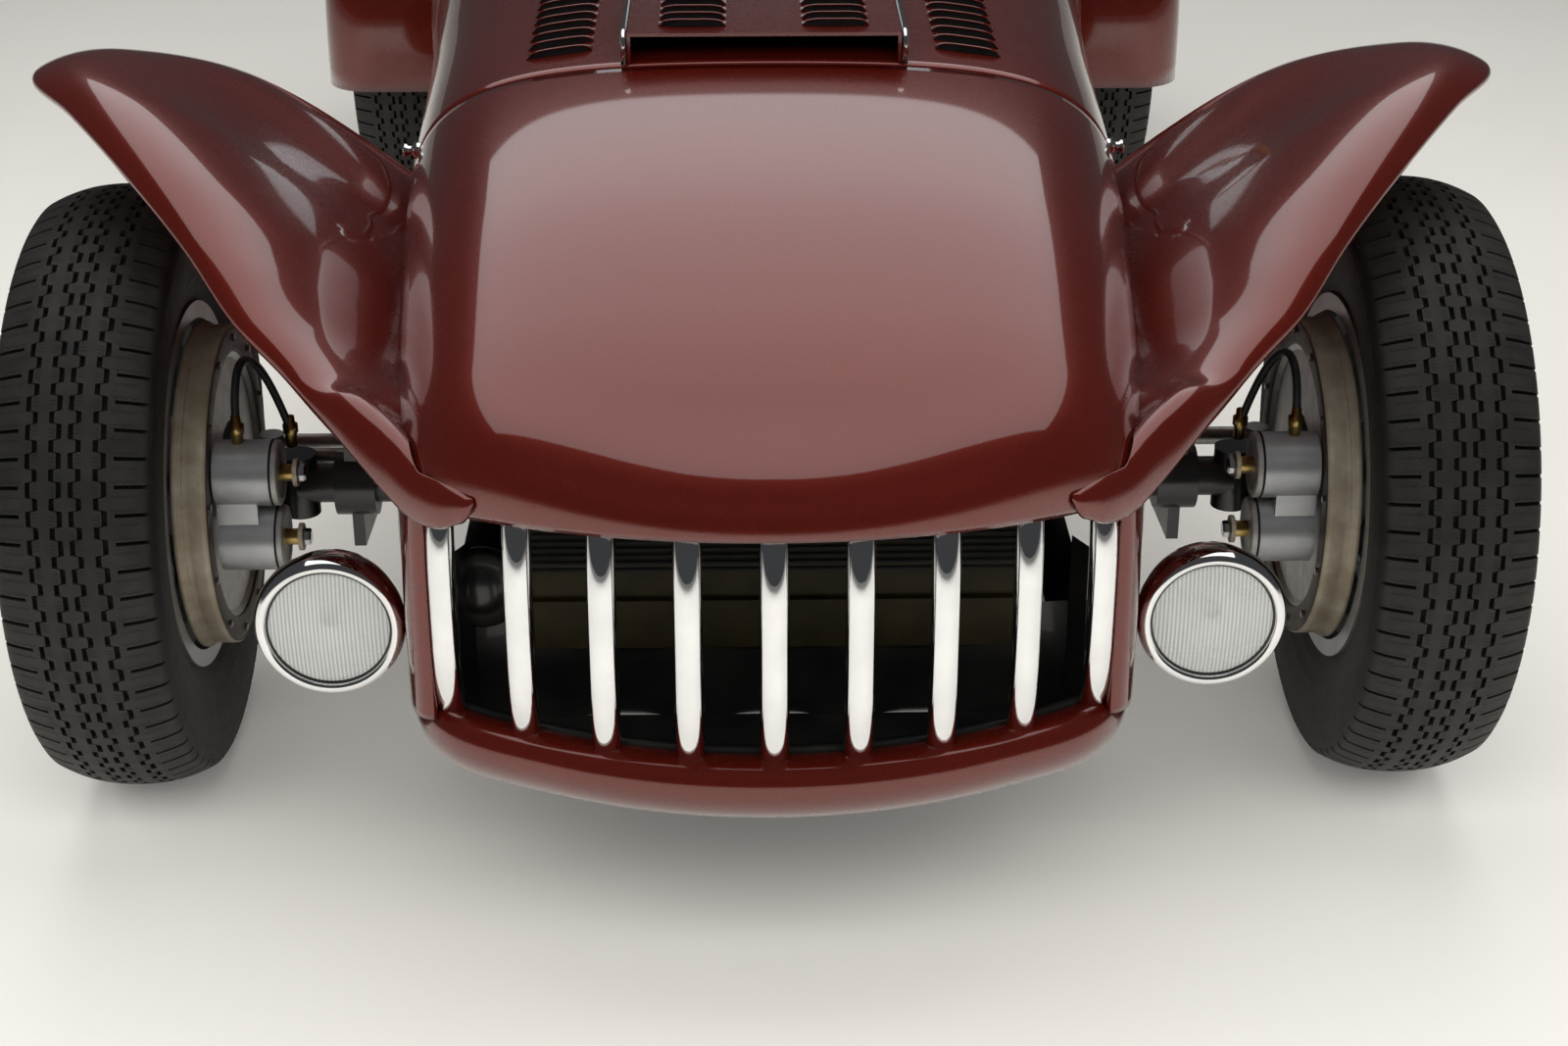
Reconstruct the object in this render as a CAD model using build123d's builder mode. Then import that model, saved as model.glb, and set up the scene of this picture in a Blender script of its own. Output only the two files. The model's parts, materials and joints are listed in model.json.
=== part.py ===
"""Two-seat vintage sports racing car: open cockpit, barred grille, sweeping front fenders.

Frame: +X to the car's left, -Y forwards, +Z up, in millimetres. The origin is on the ground,
midway between the nose and the tail. Names ending in _left are on the +X side.
"""
import os
from math import atan2, cos, degrees, pi, radians, sin, sqrt, tan

from build123d import *

os.makedirs("parts", exist_ok=True)

# ------------------------------------------------------------------ driving sizes
WHEELBASE = 2235.0
FRONT_OVERHANG = 605.0          # front axle to the foremost point of the nose
REAR_OVERHANG = 800.0           # rear axle to the tip of the tail
FRONT_TRACK = 1480.0
REAR_TRACK = 1340.0

TYRE_RADIUS = 354.5
TYRE_WIDTH = 175.0
RIM_RADIUS = 217.0              # over the rim flanges
RIM_WIDTH = 142.0
RIM_WALL = 6.0

SKIN = 4.0                      # body panels
FENDER_SKIN = 5.0
PANEL_GAP = 2.0                 # between fixed panels
HOOD_GAP = 6.0                  # round the opening hood
HOOD_LEAN = 28.0                # how far the foot of the hood's front edge leans back
SEAT_GAP = 0.5                  # between fixed pieces that nearly touch

NOSE_Y = -(FRONT_OVERHANG + WHEELBASE + REAR_OVERHANG) / 2
FRONT_Y = NOSE_Y + FRONT_OVERHANG
REAR_Y = FRONT_Y + WHEELBASE
TAIL_Y = REAR_Y + REAR_OVERHANG
AXLE_Z = TYRE_RADIUS

# Body stations behind the front axle
HOOD_FRONT = FRONT_Y + 105.0
HOOD_LENGTH = 795.0
HOOD_REAR = HOOD_FRONT + HOOD_LENGTH
SCUTTLE_LENGTH = 275.0
COCKPIT_FRONT = HOOD_REAR + SCUTTLE_LENGTH
COCKPIT_LENGTH = 670.0
COCKPIT_REAR = COCKPIT_FRONT + COCKPIT_LENGTH
TAIL_SEAM = COCKPIT_REAR + 50.0

CHIN_TOP = 302.0                # joint between nose and chin
BODY_FLOOR = 228.0              # lower edge of the body sides
HOOD_SEAM = 684.0               # lower edge of the hood sides
COCKPIT_SIDE = 592.0            # top of the cut-down cockpit sides
BODY_TOP = 850.0                # where the hood's front edge stops leaning
FULLNESS = 0.888                # how square the shoulders are, 0.55 being round
SILL_RADIUS = 58.0

# y, half width, top, shoulder base: the loft of the body
STATIONS = (
    (FRONT_Y - 680, 328, 505, 425),
    (FRONT_Y - 500, 368, 652, 470),
    (FRONT_Y - 380, 384, 717, 492),
    (FRONT_Y - 180, 405, 783, 512),
    (FRONT_Y + 100, 428, 830, 530),
    (FRONT_Y + 500, 447, 853, 540),
    (HOOD_REAR + 5, 475, 870, 560),
    (COCKPIT_FRONT, 508, 880, 578),
    (COCKPIT_REAR, 536, 828, 560),
    (REAR_Y, 522, 772, 520),
    (REAR_Y + 365, 455, 682, 455),
    (REAR_Y + 590, 362, 588, 405),
    (REAR_Y + 720, 262, 508, 372),
    (TAIL_Y, 120, 425, 345),
)
NOSE_PLAN_RADIUS = 563.0        # the nose front is an arc in plan
NOSE_LIP_RADIUS = 42.0

GRILLE_HALF_WIDTH = 347.0
GRILLE_TOP = 560.0
BAR_COUNT = 9
BAR_PITCH = 79.0
BAR_RADIUS = 13.0

RAIL_X = 330.0
RAIL_WIDTH = 48.0
RAIL_BOTTOM = 240.0
RAIL_TOP = 315.0
KICK_RISE = 195.0               # the rails climb this far over the rear axle
CROSS_RADIUS = 20.0
FLOOR_Z = 318.0
FLOOR_SKIN = 3.0

ENGINE = (480.0, 640.0, 460.0)
ENGINE_FRONT = FRONT_Y + 190.0
ENGINE_BOTTOM = 262.0

KINGPIN_X = 605.0
KNUCKLE_RADIUS = 27.0
AXLE_TUBE_RADIUS = 23.5
TIE_ARM = 105.0                 # kingpin to tie rod
LINK_ARM = 60.0                 # kingpin to drag link
PITMAN_ARM = 110.0
PITMAN_X = 335.0
ROD_Z = 361.0
ROD_RADIUS = 11.0
ROD_EYE_RADIUS = 15.0
JOINT_GAP = 1.0

DISC_X = 640.0
DISC_RADIUS = 150.0
DISC_THICKNESS = 9.0
DISC_RING_RADIUS = 188.0
HUB_RADIUS = 62.0

COLUMN_RADIUS = 16.0
WHEEL_CENTRE = (290.0, HOOD_REAR + 432.0, 742.0)
BOX_CENTRE = (PITMAN_X, FRONT_Y + LINK_ARM + PITMAN_ARM + 45.0, 400.0)
STEERING_WHEEL_RADIUS = 200.0

LAMP_X = 460.0
LAMP_Y = FRONT_Y - 404.0
LAMP_Z = 377.0
LAMP_RADIUS = 76.0
LAMP_DEPTH = 78.0
GLASS_RADIUS = 66.0

SEAT_X = 290.0
SEAT_WIDTH = 385.0
TUNNEL_HALF = 78.0
TUNNEL_TOP = 440.0


# ------------------------------------------------------------------ helpers
def save(piece, name):
    """Label a finished piece and write it as its own STEP file."""
    piece.label = name
    export_step(piece, f"parts/{name}.step")


def rod(start, end, radius, bore=0.0):
    """Round bar or tube from one point to another."""
    run = Vector(*end) - Vector(*start)
    with BuildPart() as bar:
        with BuildSketch(Plane(origin=start, z_dir=run)):
            Circle(radius)
            if bore:
                Circle(bore, mode=Mode.SUBTRACT)
        extrude(amount=run.length)
    return bar.part


def block(low, high, radius=0.0):
    """Box between two corners, with its upright edges rounded."""
    size = [b - a for a, b in zip(low, high)]
    with BuildPart() as box:
        with BuildSketch(Plane.XY.offset(low[2])):
            with Locations(((low[0] + high[0]) / 2, (low[1] + high[1]) / 2)):
                Rectangle(size[0], size[1])
        extrude(amount=size[2])
        if radius:
            fillet(box.edges().filter_by(Axis.Z), radius)
    return box.part


def both_sides(piece):
    """The piece and its mirror image across the car's centre plane."""
    return piece + mirror(piece, about=Plane.YZ)


def station_value(y, column):
    """Straight-line value of a body station column at y."""
    for first, second in zip(STATIONS, STATIONS[1:]):
        if y <= second[0]:
            share = (y - first[0]) / (second[0] - first[0])
            return first[column] + share * (second[column] - first[column])
    return STATIONS[-1][column]


def half_width(y):
    """Half width of the body below its shoulders at y."""
    return station_value(y, 1)


def body_section(y, width, top, shoulder, inset):
    """Closed section: flat floor, rounded sills, upright sides and full, square shoulders."""
    half, crown, floor = width - inset, top - inset, BODY_FLOOR + inset
    sill = max(SILL_RADIUS - inset, 5.0)
    high = shoulder + FULLNESS * (crown - shoulder)
    with BuildSketch(Plane.XZ.offset(-y)) as section:
        with BuildLine():
            Bezier((half, shoulder), (half, high), (FULLNESS * half, crown), (0, crown))
            Bezier((0, crown), (-FULLNESS * half, crown), (-half, high), (-half, shoulder))
            Line((-half, shoulder), (-half, floor + sill))
            RadiusArc((-half, floor + sill), (-half + sill, floor), -sill)
            Line((-half + sill, floor), (half - sill, floor))
            RadiusArc((half - sill, floor), (half, floor + sill), -sill)
            Line((half, floor + sill), (half, shoulder))
        make_face()
    return section.sketch


def body_solid(inset):
    """The whole body form, moved inwards by inset, its nose cut to an arc in plan."""
    front = NOSE_Y + inset
    radius = NOSE_PLAN_RADIUS - inset
    reach = 500.0
    back = TAIL_Y - inset
    sagitta = radius - sqrt(radius**2 - reach**2)
    with BuildPart() as form:
        loft(sections=[body_section(*station, inset) for station in STATIONS])
        with BuildSketch(Plane.XY):
            with BuildLine():
                ThreePointArc((-reach, front + sagitta), (0, front), (reach, front + sagitta))
                Polyline((reach, front + sagitta), (2 * reach, back), (-2 * reach, back),
                         (-reach, front + sagitta))
            make_face()
        extrude(amount=1200, mode=Mode.INTERSECT)
        fillet(form.faces().sort_by(Axis.Y)[0].edges(), NOSE_LIP_RADIUS - inset)
    return form.part


def trimmed(shell, low, high):
    """The part of a shell inside a box."""
    with BuildPart() as piece:
        add(shell)
        add(block(low, high), mode=Mode.INTERSECT)
    return piece.part


# ------------------------------------------------------------------ body panels
OUTER = body_solid(0.0)
INNER = body_solid(SKIN)
LINING = body_solid(SKIN + SEAT_GAP)        # where inside plates end
CLEAR = body_solid(-PANEL_GAP)              # what outside pieces are cut back from
WIDE = 2 * half_width(COCKPIT_REAR)


def open_bottomed_shell():
    """The body skin with a long opening below, leaving its sills turned in."""
    margin = SILL_RADIUS + 6.0
    with BuildPart() as shell:
        add(OUTER)
        add(INNER, mode=Mode.SUBTRACT)
        with BuildSketch(Plane.XY):
            with BuildLine():
                Polyline(*[(half_width(y) - margin, y) for y in belly_stations()])
                Polyline(*[(margin - half_width(y), y) for y in belly_stations()])
                Line((half_width(BELLY_FRONT) - margin, BELLY_FRONT),
                     (margin - half_width(BELLY_FRONT), BELLY_FRONT))
                Line((half_width(BELLY_REAR) - margin, BELLY_REAR),
                     (margin - half_width(BELLY_REAR), BELLY_REAR))
            make_face()
        extrude(amount=BODY_FLOOR + 2 * SKIN, mode=Mode.SUBTRACT)
    return shell.part


BELLY_FRONT = FRONT_Y - 430.0
BELLY_REAR = REAR_Y + 440.0


def belly_stations():
    """Stations along the opening under the body."""
    inside = [station[0] for station in STATIONS if BELLY_FRONT < station[0] < BELLY_REAR]
    return [BELLY_FRONT] + inside + [BELLY_REAR]


SHELL = open_bottomed_shell()


def side_cut(points):
    """Side outline of (y, z) points carried right across the car."""
    with BuildPart() as cut:
        with BuildSketch(Plane.YZ):
            with BuildLine():
                Polyline(*points, close=True)
            make_face()
        extrude(amount=WIDE, both=True)
    return cut.part


def make_nose():
    """Nose panel, with the grille opening and a bay for the front axle in each side."""
    foot = HOOD_SEAM - HOOD_GAP + PANEL_GAP
    side = side_cut(((NOSE_Y - 50, CHIN_TOP + PANEL_GAP), (HOOD_FRONT - PANEL_GAP, CHIN_TOP + PANEL_GAP),
                     (HOOD_FRONT - PANEL_GAP, foot), (HOOD_FRONT + HOOD_LEAN - HOOD_GAP, foot),
                     (HOOD_FRONT - HOOD_GAP, BODY_TOP), (HOOD_FRONT - HOOD_GAP, 1200),
                     (NOSE_Y - 50, 1200)))
    with BuildPart() as nose:
        add(SHELL)
        add(side, mode=Mode.INTERSECT)
        with BuildSketch(Plane.XZ.offset(-(FRONT_Y - 400))):
            with Locations((0, (GRILLE_TOP + CHIN_TOP - 60) / 2)):
                RectangleRounded(2 * GRILLE_HALF_WIDTH, GRILLE_TOP - CHIN_TOP + 60, 28)
        extrude(amount=400, mode=Mode.SUBTRACT)
        with BuildSketch(Plane.YZ):
            with Locations((FRONT_Y + 10, AXLE_Z - 22)):
                RectangleRounded(300, 250, 60)
        extrude(amount=WIDE, both=True, mode=Mode.SUBTRACT)
    save(nose.part, "nose_cowl")


def make_chin():
    """Rounded valance under the grille."""
    save(trimmed(SHELL, (-WIDE, NOSE_Y - 50, 0), (WIDE, FRONT_Y - 190, CHIN_TOP)), "chin_panel")


def make_grille():
    """Upright bars bowed forward, carried at both ends by a curved rail."""
    bottom, top = CHIN_TOP - 8, GRILLE_TOP + 10
    back = NOSE_PLAN_RADIUS - 24
    centre_y = NOSE_Y + NOSE_PLAN_RADIUS
    with BuildPart() as grille:
        for index in range(BAR_COUNT):
            x = (index - (BAR_COUNT - 1) / 2) * BAR_PITCH
            y = centre_y - sqrt(back**2 - x**2)
            side = Plane(origin=(x, y, 0), x_dir=(0, 1, 0), z_dir=(1, 0, 0))
            with BuildLine(side) as bow:
                ThreePointArc((14, bottom), (-10, (bottom + top) / 2), (14, top))
            with BuildSketch(Plane(origin=bow.line @ 0, z_dir=bow.line % 0)):
                Circle(BAR_RADIUS)
            sweep(path=bow.line)
        for z in (bottom + 8, top - 8):
            with BuildSketch(Plane.XY.offset(z - 6)):
                with Locations((0, centre_y)):
                    Circle(back - 8)
                    Circle(back - 14, mode=Mode.SUBTRACT)
                    Rectangle(2 * GRILLE_HALF_WIDTH - 8, 4 * back, mode=Mode.INTERSECT)
                with Locations((0, centre_y + back)):
                    Rectangle(4 * back, 3.2 * back, mode=Mode.SUBTRACT)
            extrude(amount=12)
    save(grille.part, "grille_bars")


def make_engine_sides():
    """Fixed panels below the hood."""
    sides = trimmed(SHELL, (-WIDE, HOOD_FRONT, 0), (WIDE, HOOD_REAR, HOOD_SEAM - HOOD_GAP))
    with BuildPart() as panels:
        add(sides)
        with BuildSketch(Plane.YZ):
            with Locations((FRONT_Y + 10, AXLE_Z - 22)):
                RectangleRounded(300, 250, 60)
        extrude(amount=WIDE, both=True, mode=Mode.SUBTRACT)
    save(panels.part, "engine_side_panels")


def make_hood():
    """Rear-hinged hood over the engine, cut out under its raised scoop."""
    with BuildPart() as hood:
        add(SHELL)
        add(side_cut(((HOOD_FRONT + HOOD_LEAN, HOOD_SEAM), (HOOD_REAR - HOOD_GAP, HOOD_SEAM),
                      (HOOD_REAR - HOOD_GAP, 1200), (HOOD_FRONT, 1200), (HOOD_FRONT, BODY_TOP))),
            mode=Mode.INTERSECT)
        add(block((-SCOOP_HALF + 22, HOOD_FRONT + 30, 760), (SCOOP_HALF - 22, SCOOP_REAR - 60, 1200)),
            mode=Mode.SUBTRACT)
    save(hood.part, "hood")


SCOOP_HALF = 158.0
SCOOP_RISE = 34.0
SCOOP_REAR = HOOD_REAR - 60.0


def make_scoop():
    """Raised centre panel, open at its front edge and louvred on top."""
    front, rear = HOOD_FRONT + 8, SCOOP_REAR
    top_front = station_value(front, 2) + SCOOP_RISE
    top_rear = station_value(rear, 2) + 6
    with BuildPart() as scoop:
        with BuildSketch(Plane.YZ.offset(-SCOOP_HALF)):
            with BuildLine():
                Polyline((front, top_front), (rear, top_rear), (rear, top_rear - 60),
                         (front, top_front - 90), close=True)
            make_face()
        extrude(amount=2 * SCOOP_HALF)
        with BuildSketch(Plane.YZ.offset(-SCOOP_HALF + SKIN)):
            with BuildLine():
                Polyline((front - 5, top_front - SKIN), (rear - SKIN, top_rear - SKIN),
                         (rear - SKIN, top_rear - 100), (front - 5, top_front - 150), close=True)
            make_face()
        extrude(amount=2 * (SCOOP_HALF - SKIN), mode=Mode.SUBTRACT)
        add(CLEAR, mode=Mode.SUBTRACT)
    save(scoop.part, "hood_scoop")


def make_cockpit():
    """Scuttle and cut-down cockpit sides in one shell, open over the seats."""
    tub = trimmed(SHELL, (-WIDE, HOOD_REAR, 0), (WIDE, TAIL_SEAM - PANEL_GAP, 1200))
    with BuildPart() as body:
        add(tub)
        add(cockpit_opening(), mode=Mode.SUBTRACT)
    save(body.part, "cockpit_body")


def cockpit_opening():
    """Side view of the cut-down sides, carried right across the car."""
    with BuildPart() as opening:
        with BuildSketch(Plane.YZ):
            with BuildLine():
                FilletPolyline((COCKPIT_FRONT, 1200), (COCKPIT_FRONT, 800),
                               (COCKPIT_FRONT + 120, COCKPIT_SIDE), (COCKPIT_REAR - 130, COCKPIT_SIDE),
                               (COCKPIT_REAR, 760), (COCKPIT_REAR, 1200), radius=80)
                Line((COCKPIT_REAR, 1200), (COCKPIT_FRONT, 1200))
            make_face()
        extrude(amount=WIDE, both=True)
    return opening.part


def make_tail():
    """Tapering tail, with a bay in each side for the rear axle."""
    with BuildPart() as tail:
        add(trimmed(SHELL, (-WIDE, TAIL_SEAM, 0), (WIDE, TAIL_Y + 50, 1200)))
        with BuildSketch(Plane.YZ):
            with Locations((REAR_Y, AXLE_Z - 40)):
                RectangleRounded(220, 300, 60)
        extrude(amount=WIDE, both=True, mode=Mode.SUBTRACT)
    save(tail.part, "tail_body")


make_nose()
make_chin()
make_grille()
make_engine_sides()
make_hood()
make_scoop()
make_cockpit()
make_tail()


# ------------------------------------------------------------------ fenders
# Angle from straight ahead about the front axle, then the lip, two curve handles and the root,
# each as distance from the car's centre plane and from the axle line
FRONT_FENDER = (
    (22.5, (330, 552), (316, 574), (296, 574), (270, 540)),
    (28.0, (406, 481), (386, 500), (362, 516), (335, 530)),
    (33.0, (451, 458), (428, 472), (398, 484), (366, 492)),
    (38.0, (492, 445), (464, 460), (420, 452), (374, 430)),
    (46.0, (548, 445), (515, 470), (440, 400), (382, 335)),
    (57.0, (604, 449), (560, 488), (465, 390), (386, 300)),
    (70.0, (678, 461), (610, 510), (495, 400), (392, 283)),
    (84.0, (757, 474), (670, 532), (530, 410), (398, 278)),
    (97.0, (822, 486), (715, 548), (560, 425), (405, 285)),
    (108.0, (800, 500), (700, 548), (550, 430), (410, 295)),
    (122.0, (702, 504), (630, 540), (520, 440), (415, 330)),
    (139.0, (630, 520), (580, 540), (500, 480), (420, 410)),
    (157.0, (588, 568), (540, 568), (480, 545), (425, 505)),
)
BEAD_RADIUS = 11.0


def fender_section(angle, lip, crown, flank, root):
    """Thin closed strip on the plane through the axle line at the angle, with a rolled lip."""
    slope = radians(angle)
    plane = Plane(origin=(0, FRONT_Y, AXLE_Z), x_dir=(1, 0, 0), z_dir=(0, -sin(slope), -cos(slope)))
    lip, crown, flank, root = (Vector(*point) for point in (lip, crown, flank, root))
    along = (lip - crown).normalized()
    outwards = Vector(-along.Y, along.X)
    over = lip - along * BEAD_RADIUS
    centre = over - outwards * BEAD_RADIUS
    under = centre - along * (0.8 * BEAD_RADIUS) - outwards * (0.6 * BEAD_RADIUS)
    inside = [crown + skin_offset(flank, lip), flank + skin_offset(root, crown), root + skin_offset(root, flank)]
    with BuildSketch(plane) as section:
        with BuildLine():
            Bezier(root, flank, crown, over)
            ThreePointArc(over, centre + along * BEAD_RADIUS, under)
            Bezier(under, *inside)
            Line(inside[-1], root)
        make_face()
    return section.sketch


def skin_offset(before, after):
    """Step through the fender skin, square to the run between its neighbours."""
    run = (after - before).normalized()
    return Vector(run.Y, -run.X) * FENDER_SKIN


def eased(before, first, second, after, share):
    """Smooth value between two table entries, each given as an angle and a value."""
    run = second[0] - first[0]
    leave = run * (second[1] - before[1]) / (second[0] - before[0])
    arrive = run * (after[1] - first[1]) / (after[0] - first[0])
    square, cube = share**2, share**3
    return (first[1] * (2 * cube - 3 * square + 1) + leave * (cube - 2 * square + share)
            + second[1] * (3 * square - 2 * cube) + arrive * (cube - square))


def fender_rows(steps):
    """The fender table with eased rows added between its own, steps to each gap."""
    for index in range(len(FRONT_FENDER) - 1):
        picks = [min(max(index + move, 0), len(FRONT_FENDER) - 1) for move in (-1, 0, 1, 2)]
        rows = [FRONT_FENDER[pick] for pick in picks]
        for step in range(steps):
            share = step / steps
            angle = rows[1][0] + share * (rows[2][0] - rows[1][0])
            yield angle, *[tuple(eased(*[(row[0], row[point][axis]) for row in rows], share)
                                 for axis in (0, 1)) for point in (1, 2, 3, 4)]
    yield FRONT_FENDER[-1]


def make_front_fenders():
    """Sweeping fenders, lofted round the wheel and cut back from the body."""
    with BuildPart() as left:
        loft(sections=[fender_section(*row) for row in fender_rows(3)], ruled=True)
        add(CLEAR, mode=Mode.SUBTRACT)
    outside = left.part.solids().sort_by(SortBy.VOLUME)[-1]
    save(Part() + outside, "front_fender_left")
    save(Part() + mirror(outside, about=Plane.YZ), "front_fender_right")


REAR_FENDER_OUT = 787.0
REAR_FENDER_BOTTOM = 328.0
REAR_FENDER_TOP = 792.0
REAR_FENDER_FRONT = 448.0       # ahead of the axle
REAR_FENDER_TAIL = 590.0        # behind the axle
REAR_FENDER_ROUND = 82.0
ARCH_RADIUS = 384.0


def rear_fender_solid(inset):
    """Teardrop side view, extruded outwards and rounded, moved inwards by inset."""
    low = REAR_FENDER_BOTTOM - 80
    with BuildPart() as form:
        with BuildSketch(Plane.YZ.offset(300)):
            with BuildLine():
                front, tail = REAR_Y - REAR_FENDER_FRONT + inset, REAR_Y + REAR_FENDER_TAIL - inset
                crest, top = REAR_Y - 20, REAR_FENDER_TOP - inset
                Line((tail, low), (front, low))
                Line((front, low), (front, REAR_FENDER_BOTTOM + 60))
                Bezier((front, REAR_FENDER_BOTTOM + 60), (front, top - 110), (REAR_Y - 270, top), (crest, top))
                Bezier((crest, top), (REAR_Y + 300, top), (tail - 50, REAR_FENDER_BOTTOM + 210),
                       (tail, REAR_FENDER_BOTTOM + 10))
                Line((tail, REAR_FENDER_BOTTOM + 10), (tail, low))
            make_face()
        extrude(amount=REAR_FENDER_OUT - 300 - inset)
        outer = form.faces().sort_by(Axis.X)[-1].edges()
        fillet(outer.sort_by(Axis.Z)[1:], REAR_FENDER_ROUND - inset)
    return form.part


def make_rear_fenders():
    """Teardrop fenders, open below and cut away round the wheel."""
    with BuildPart() as left:
        add(rear_fender_solid(0))
        add(rear_fender_solid(SKIN), mode=Mode.SUBTRACT)
        add(block((200, TAIL_SEAM - 900, 0), (900, TAIL_Y + 300, REAR_FENDER_BOTTOM)), mode=Mode.SUBTRACT)
        with BuildSketch(Plane.YZ.offset(TYRE_WIDTH / 2 + REAR_TRACK / 2 - 30)):
            with Locations((REAR_Y, AXLE_Z)):
                Circle(ARCH_RADIUS)
        extrude(amount=200, mode=Mode.SUBTRACT)
        add(CLEAR, mode=Mode.SUBTRACT)
    outside = left.part.solids().sort_by(SortBy.VOLUME)[-1]
    save(Part() + outside, "rear_fender_left")
    save(Part() + mirror(outside, about=Plane.YZ), "rear_fender_right")


make_front_fenders()
make_rear_fenders()


# ------------------------------------------------------------------ chassis
def make_rails():
    """Two box rails, flat under the cockpit and kicked up over the rear axle."""
    front, rear = FRONT_Y - 318, REAR_Y + 480
    kick, crest = REAR_Y - 350, REAR_Y - 130
    low, high = RAIL_BOTTOM, RAIL_TOP
    with BuildPart() as rail:
        with BuildSketch(Plane.YZ.offset(RAIL_X - RAIL_WIDTH / 2)):
            with BuildLine():
                Polyline((front, low), (kick, low), (crest, low + KICK_RISE), (rear, low + KICK_RISE),
                         (rear, high + KICK_RISE), (crest, high + KICK_RISE), (kick, high),
                         (front, high), close=True)
            make_face()
        extrude(amount=RAIL_WIDTH)
    save(both_sides(rail.part), "frame_rails")


def make_cross_members():
    """Round tubes between the rails."""
    inner = RAIL_X - RAIL_WIDTH / 2
    middle = (RAIL_BOTTOM + RAIL_TOP) / 2
    places = (
        (FRONT_Y - 290, middle),
        (FRONT_Y + 130, middle - 14),
        (HOOD_REAR + 40, middle - 8),
        (COCKPIT_REAR - 60, middle - 8),
        (REAR_Y + 250, middle + KICK_RISE),
        (REAR_Y + 455, middle + KICK_RISE),
    )
    tubes = [rod((-inner, y, z), (inner, y, z), CROSS_RADIUS) for y, z in places]
    save(Part() + tubes, "cross_members")


def make_front_axle():
    """Tubular front axle with a forked kingpin yoke at each end."""
    inner, outer = KINGPIN_X - 50, KINGPIN_X + 20
    with BuildPart() as axle:
        add(rod((-inner, FRONT_Y, AXLE_Z), (inner, FRONT_Y, AXLE_Z), AXLE_TUBE_RADIUS))
        for side in (-1, 1):
            add(rod((side * inner, FRONT_Y, AXLE_Z - 38), (side * inner, FRONT_Y, AXLE_Z + 38), 22))
            for z in (-38, 27):
                add(block((min(side * inner, side * outer), FRONT_Y - 18, AXLE_Z + z),
                          (max(side * inner, side * outer), FRONT_Y + 18, AXLE_Z + z + 11)))
    save(axle.part, "front_axle")


def make_radius_arms():
    """Front trailing arms: a clamp on the axle tube and a flat arm back to the rail."""
    with BuildPart() as arm:
        add(rod((ARM_X - 24, FRONT_Y, AXLE_Z), (ARM_X + 24, FRONT_Y, AXLE_Z), 38, AXLE_TUBE_RADIUS + SEAT_GAP))
        add(block((ARM_X - 12, FRONT_Y - 16, AXLE_Z + 30), (ARM_X + 12, FRONT_Y + 16, AXLE_Z + 92)))
        with BuildSketch(Plane.YZ.offset(ARM_X - 7)):
            with BuildLine():
                Polyline((FRONT_Y - 20, AXLE_Z - 30), (FRONT_Y - 20, AXLE_Z - 74),
                         (FRONT_Y + 520, RAIL_BOTTOM + 8), (FRONT_Y + 520, RAIL_BOTTOM + 52),
                         (FRONT_Y + 22, AXLE_Z - 32), close=True)
            make_face()
        extrude(amount=14)
    save(both_sides(arm.part), "front_radius_arms")


ARM_X = 486.0


def make_rear_axle():
    """Live axle tube with a round final-drive case at its middle."""
    reach = REAR_TRACK / 2 - TYRE_WIDTH / 2 - 4
    with BuildPart() as axle:
        add(rod((-reach, REAR_Y, AXLE_Z), (reach, REAR_Y, AXLE_Z), 38))
        add(rod((-70, REAR_Y, AXLE_Z), (70, REAR_Y, AXLE_Z), 132))
        add(rod((0, REAR_Y - 210, AXLE_Z), (0, REAR_Y, AXLE_Z), 55))
        add(rod((-42, REAR_Y + 90, AXLE_Z), (42, REAR_Y + 90, AXLE_Z), 88))
    save(axle.part, "rear_axle")


def make_rear_arms():
    """Rear trailing arms and the coil spring struts up to the rails."""
    x = RAIL_X + 62
    arms = [rod((x, REAR_Y - 340, RAIL_TOP - 30), (x, REAR_Y - 44, AXLE_Z - 10), 16),
            rod((x, REAR_Y + 74, AXLE_Z + 10), (x, REAR_Y + 120, AXLE_Z + 270), 28)]
    save(both_sides(Part() + arms), "rear_suspension")


def make_engine():
    """Engine and gearbox as one plain block at their real place and size."""
    width, length, height = ENGINE
    with BuildPart() as engine:
        add(block((-width / 2, ENGINE_FRONT, ENGINE_BOTTOM),
                  (width / 2, ENGINE_FRONT + length, ENGINE_BOTTOM + height), 30))
    save(engine.part, "engine_block")


RADIATOR_FRONT = FRONT_Y - 405.0
RADIATOR_DEPTH = 65.0
RADIATOR_HALF = 262.0


def make_radiator():
    """Upright core between a top and a bottom tank."""
    back = RADIATOR_FRONT + RADIATOR_DEPTH
    with BuildPart() as radiator:
        add(block((-RADIATOR_HALF, RADIATOR_FRONT + 8, 400), (RADIATOR_HALF, back - 8, 590)))
        add(block((-RADIATOR_HALF, RADIATOR_FRONT, 345), (RADIATOR_HALF, back, 400), 6))
        add(block((-RADIATOR_HALF + 30, RADIATOR_FRONT, 590), (RADIATOR_HALF - 30, back, 640), 6))
    save(radiator.part, "radiator")


PIPE_X = 205.0
PIPE_Z = 198.0
PIPE_RADIUS = 25.0
PIPE_WALL = 2.0
PIPE_SHORT = 90.0               # how far short of the tail's tip the pipes end
SILENCER_RADIUS = 45.0
COLLAR_RADIUS = 28.0
COLLAR_LENGTH = 90.0


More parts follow.
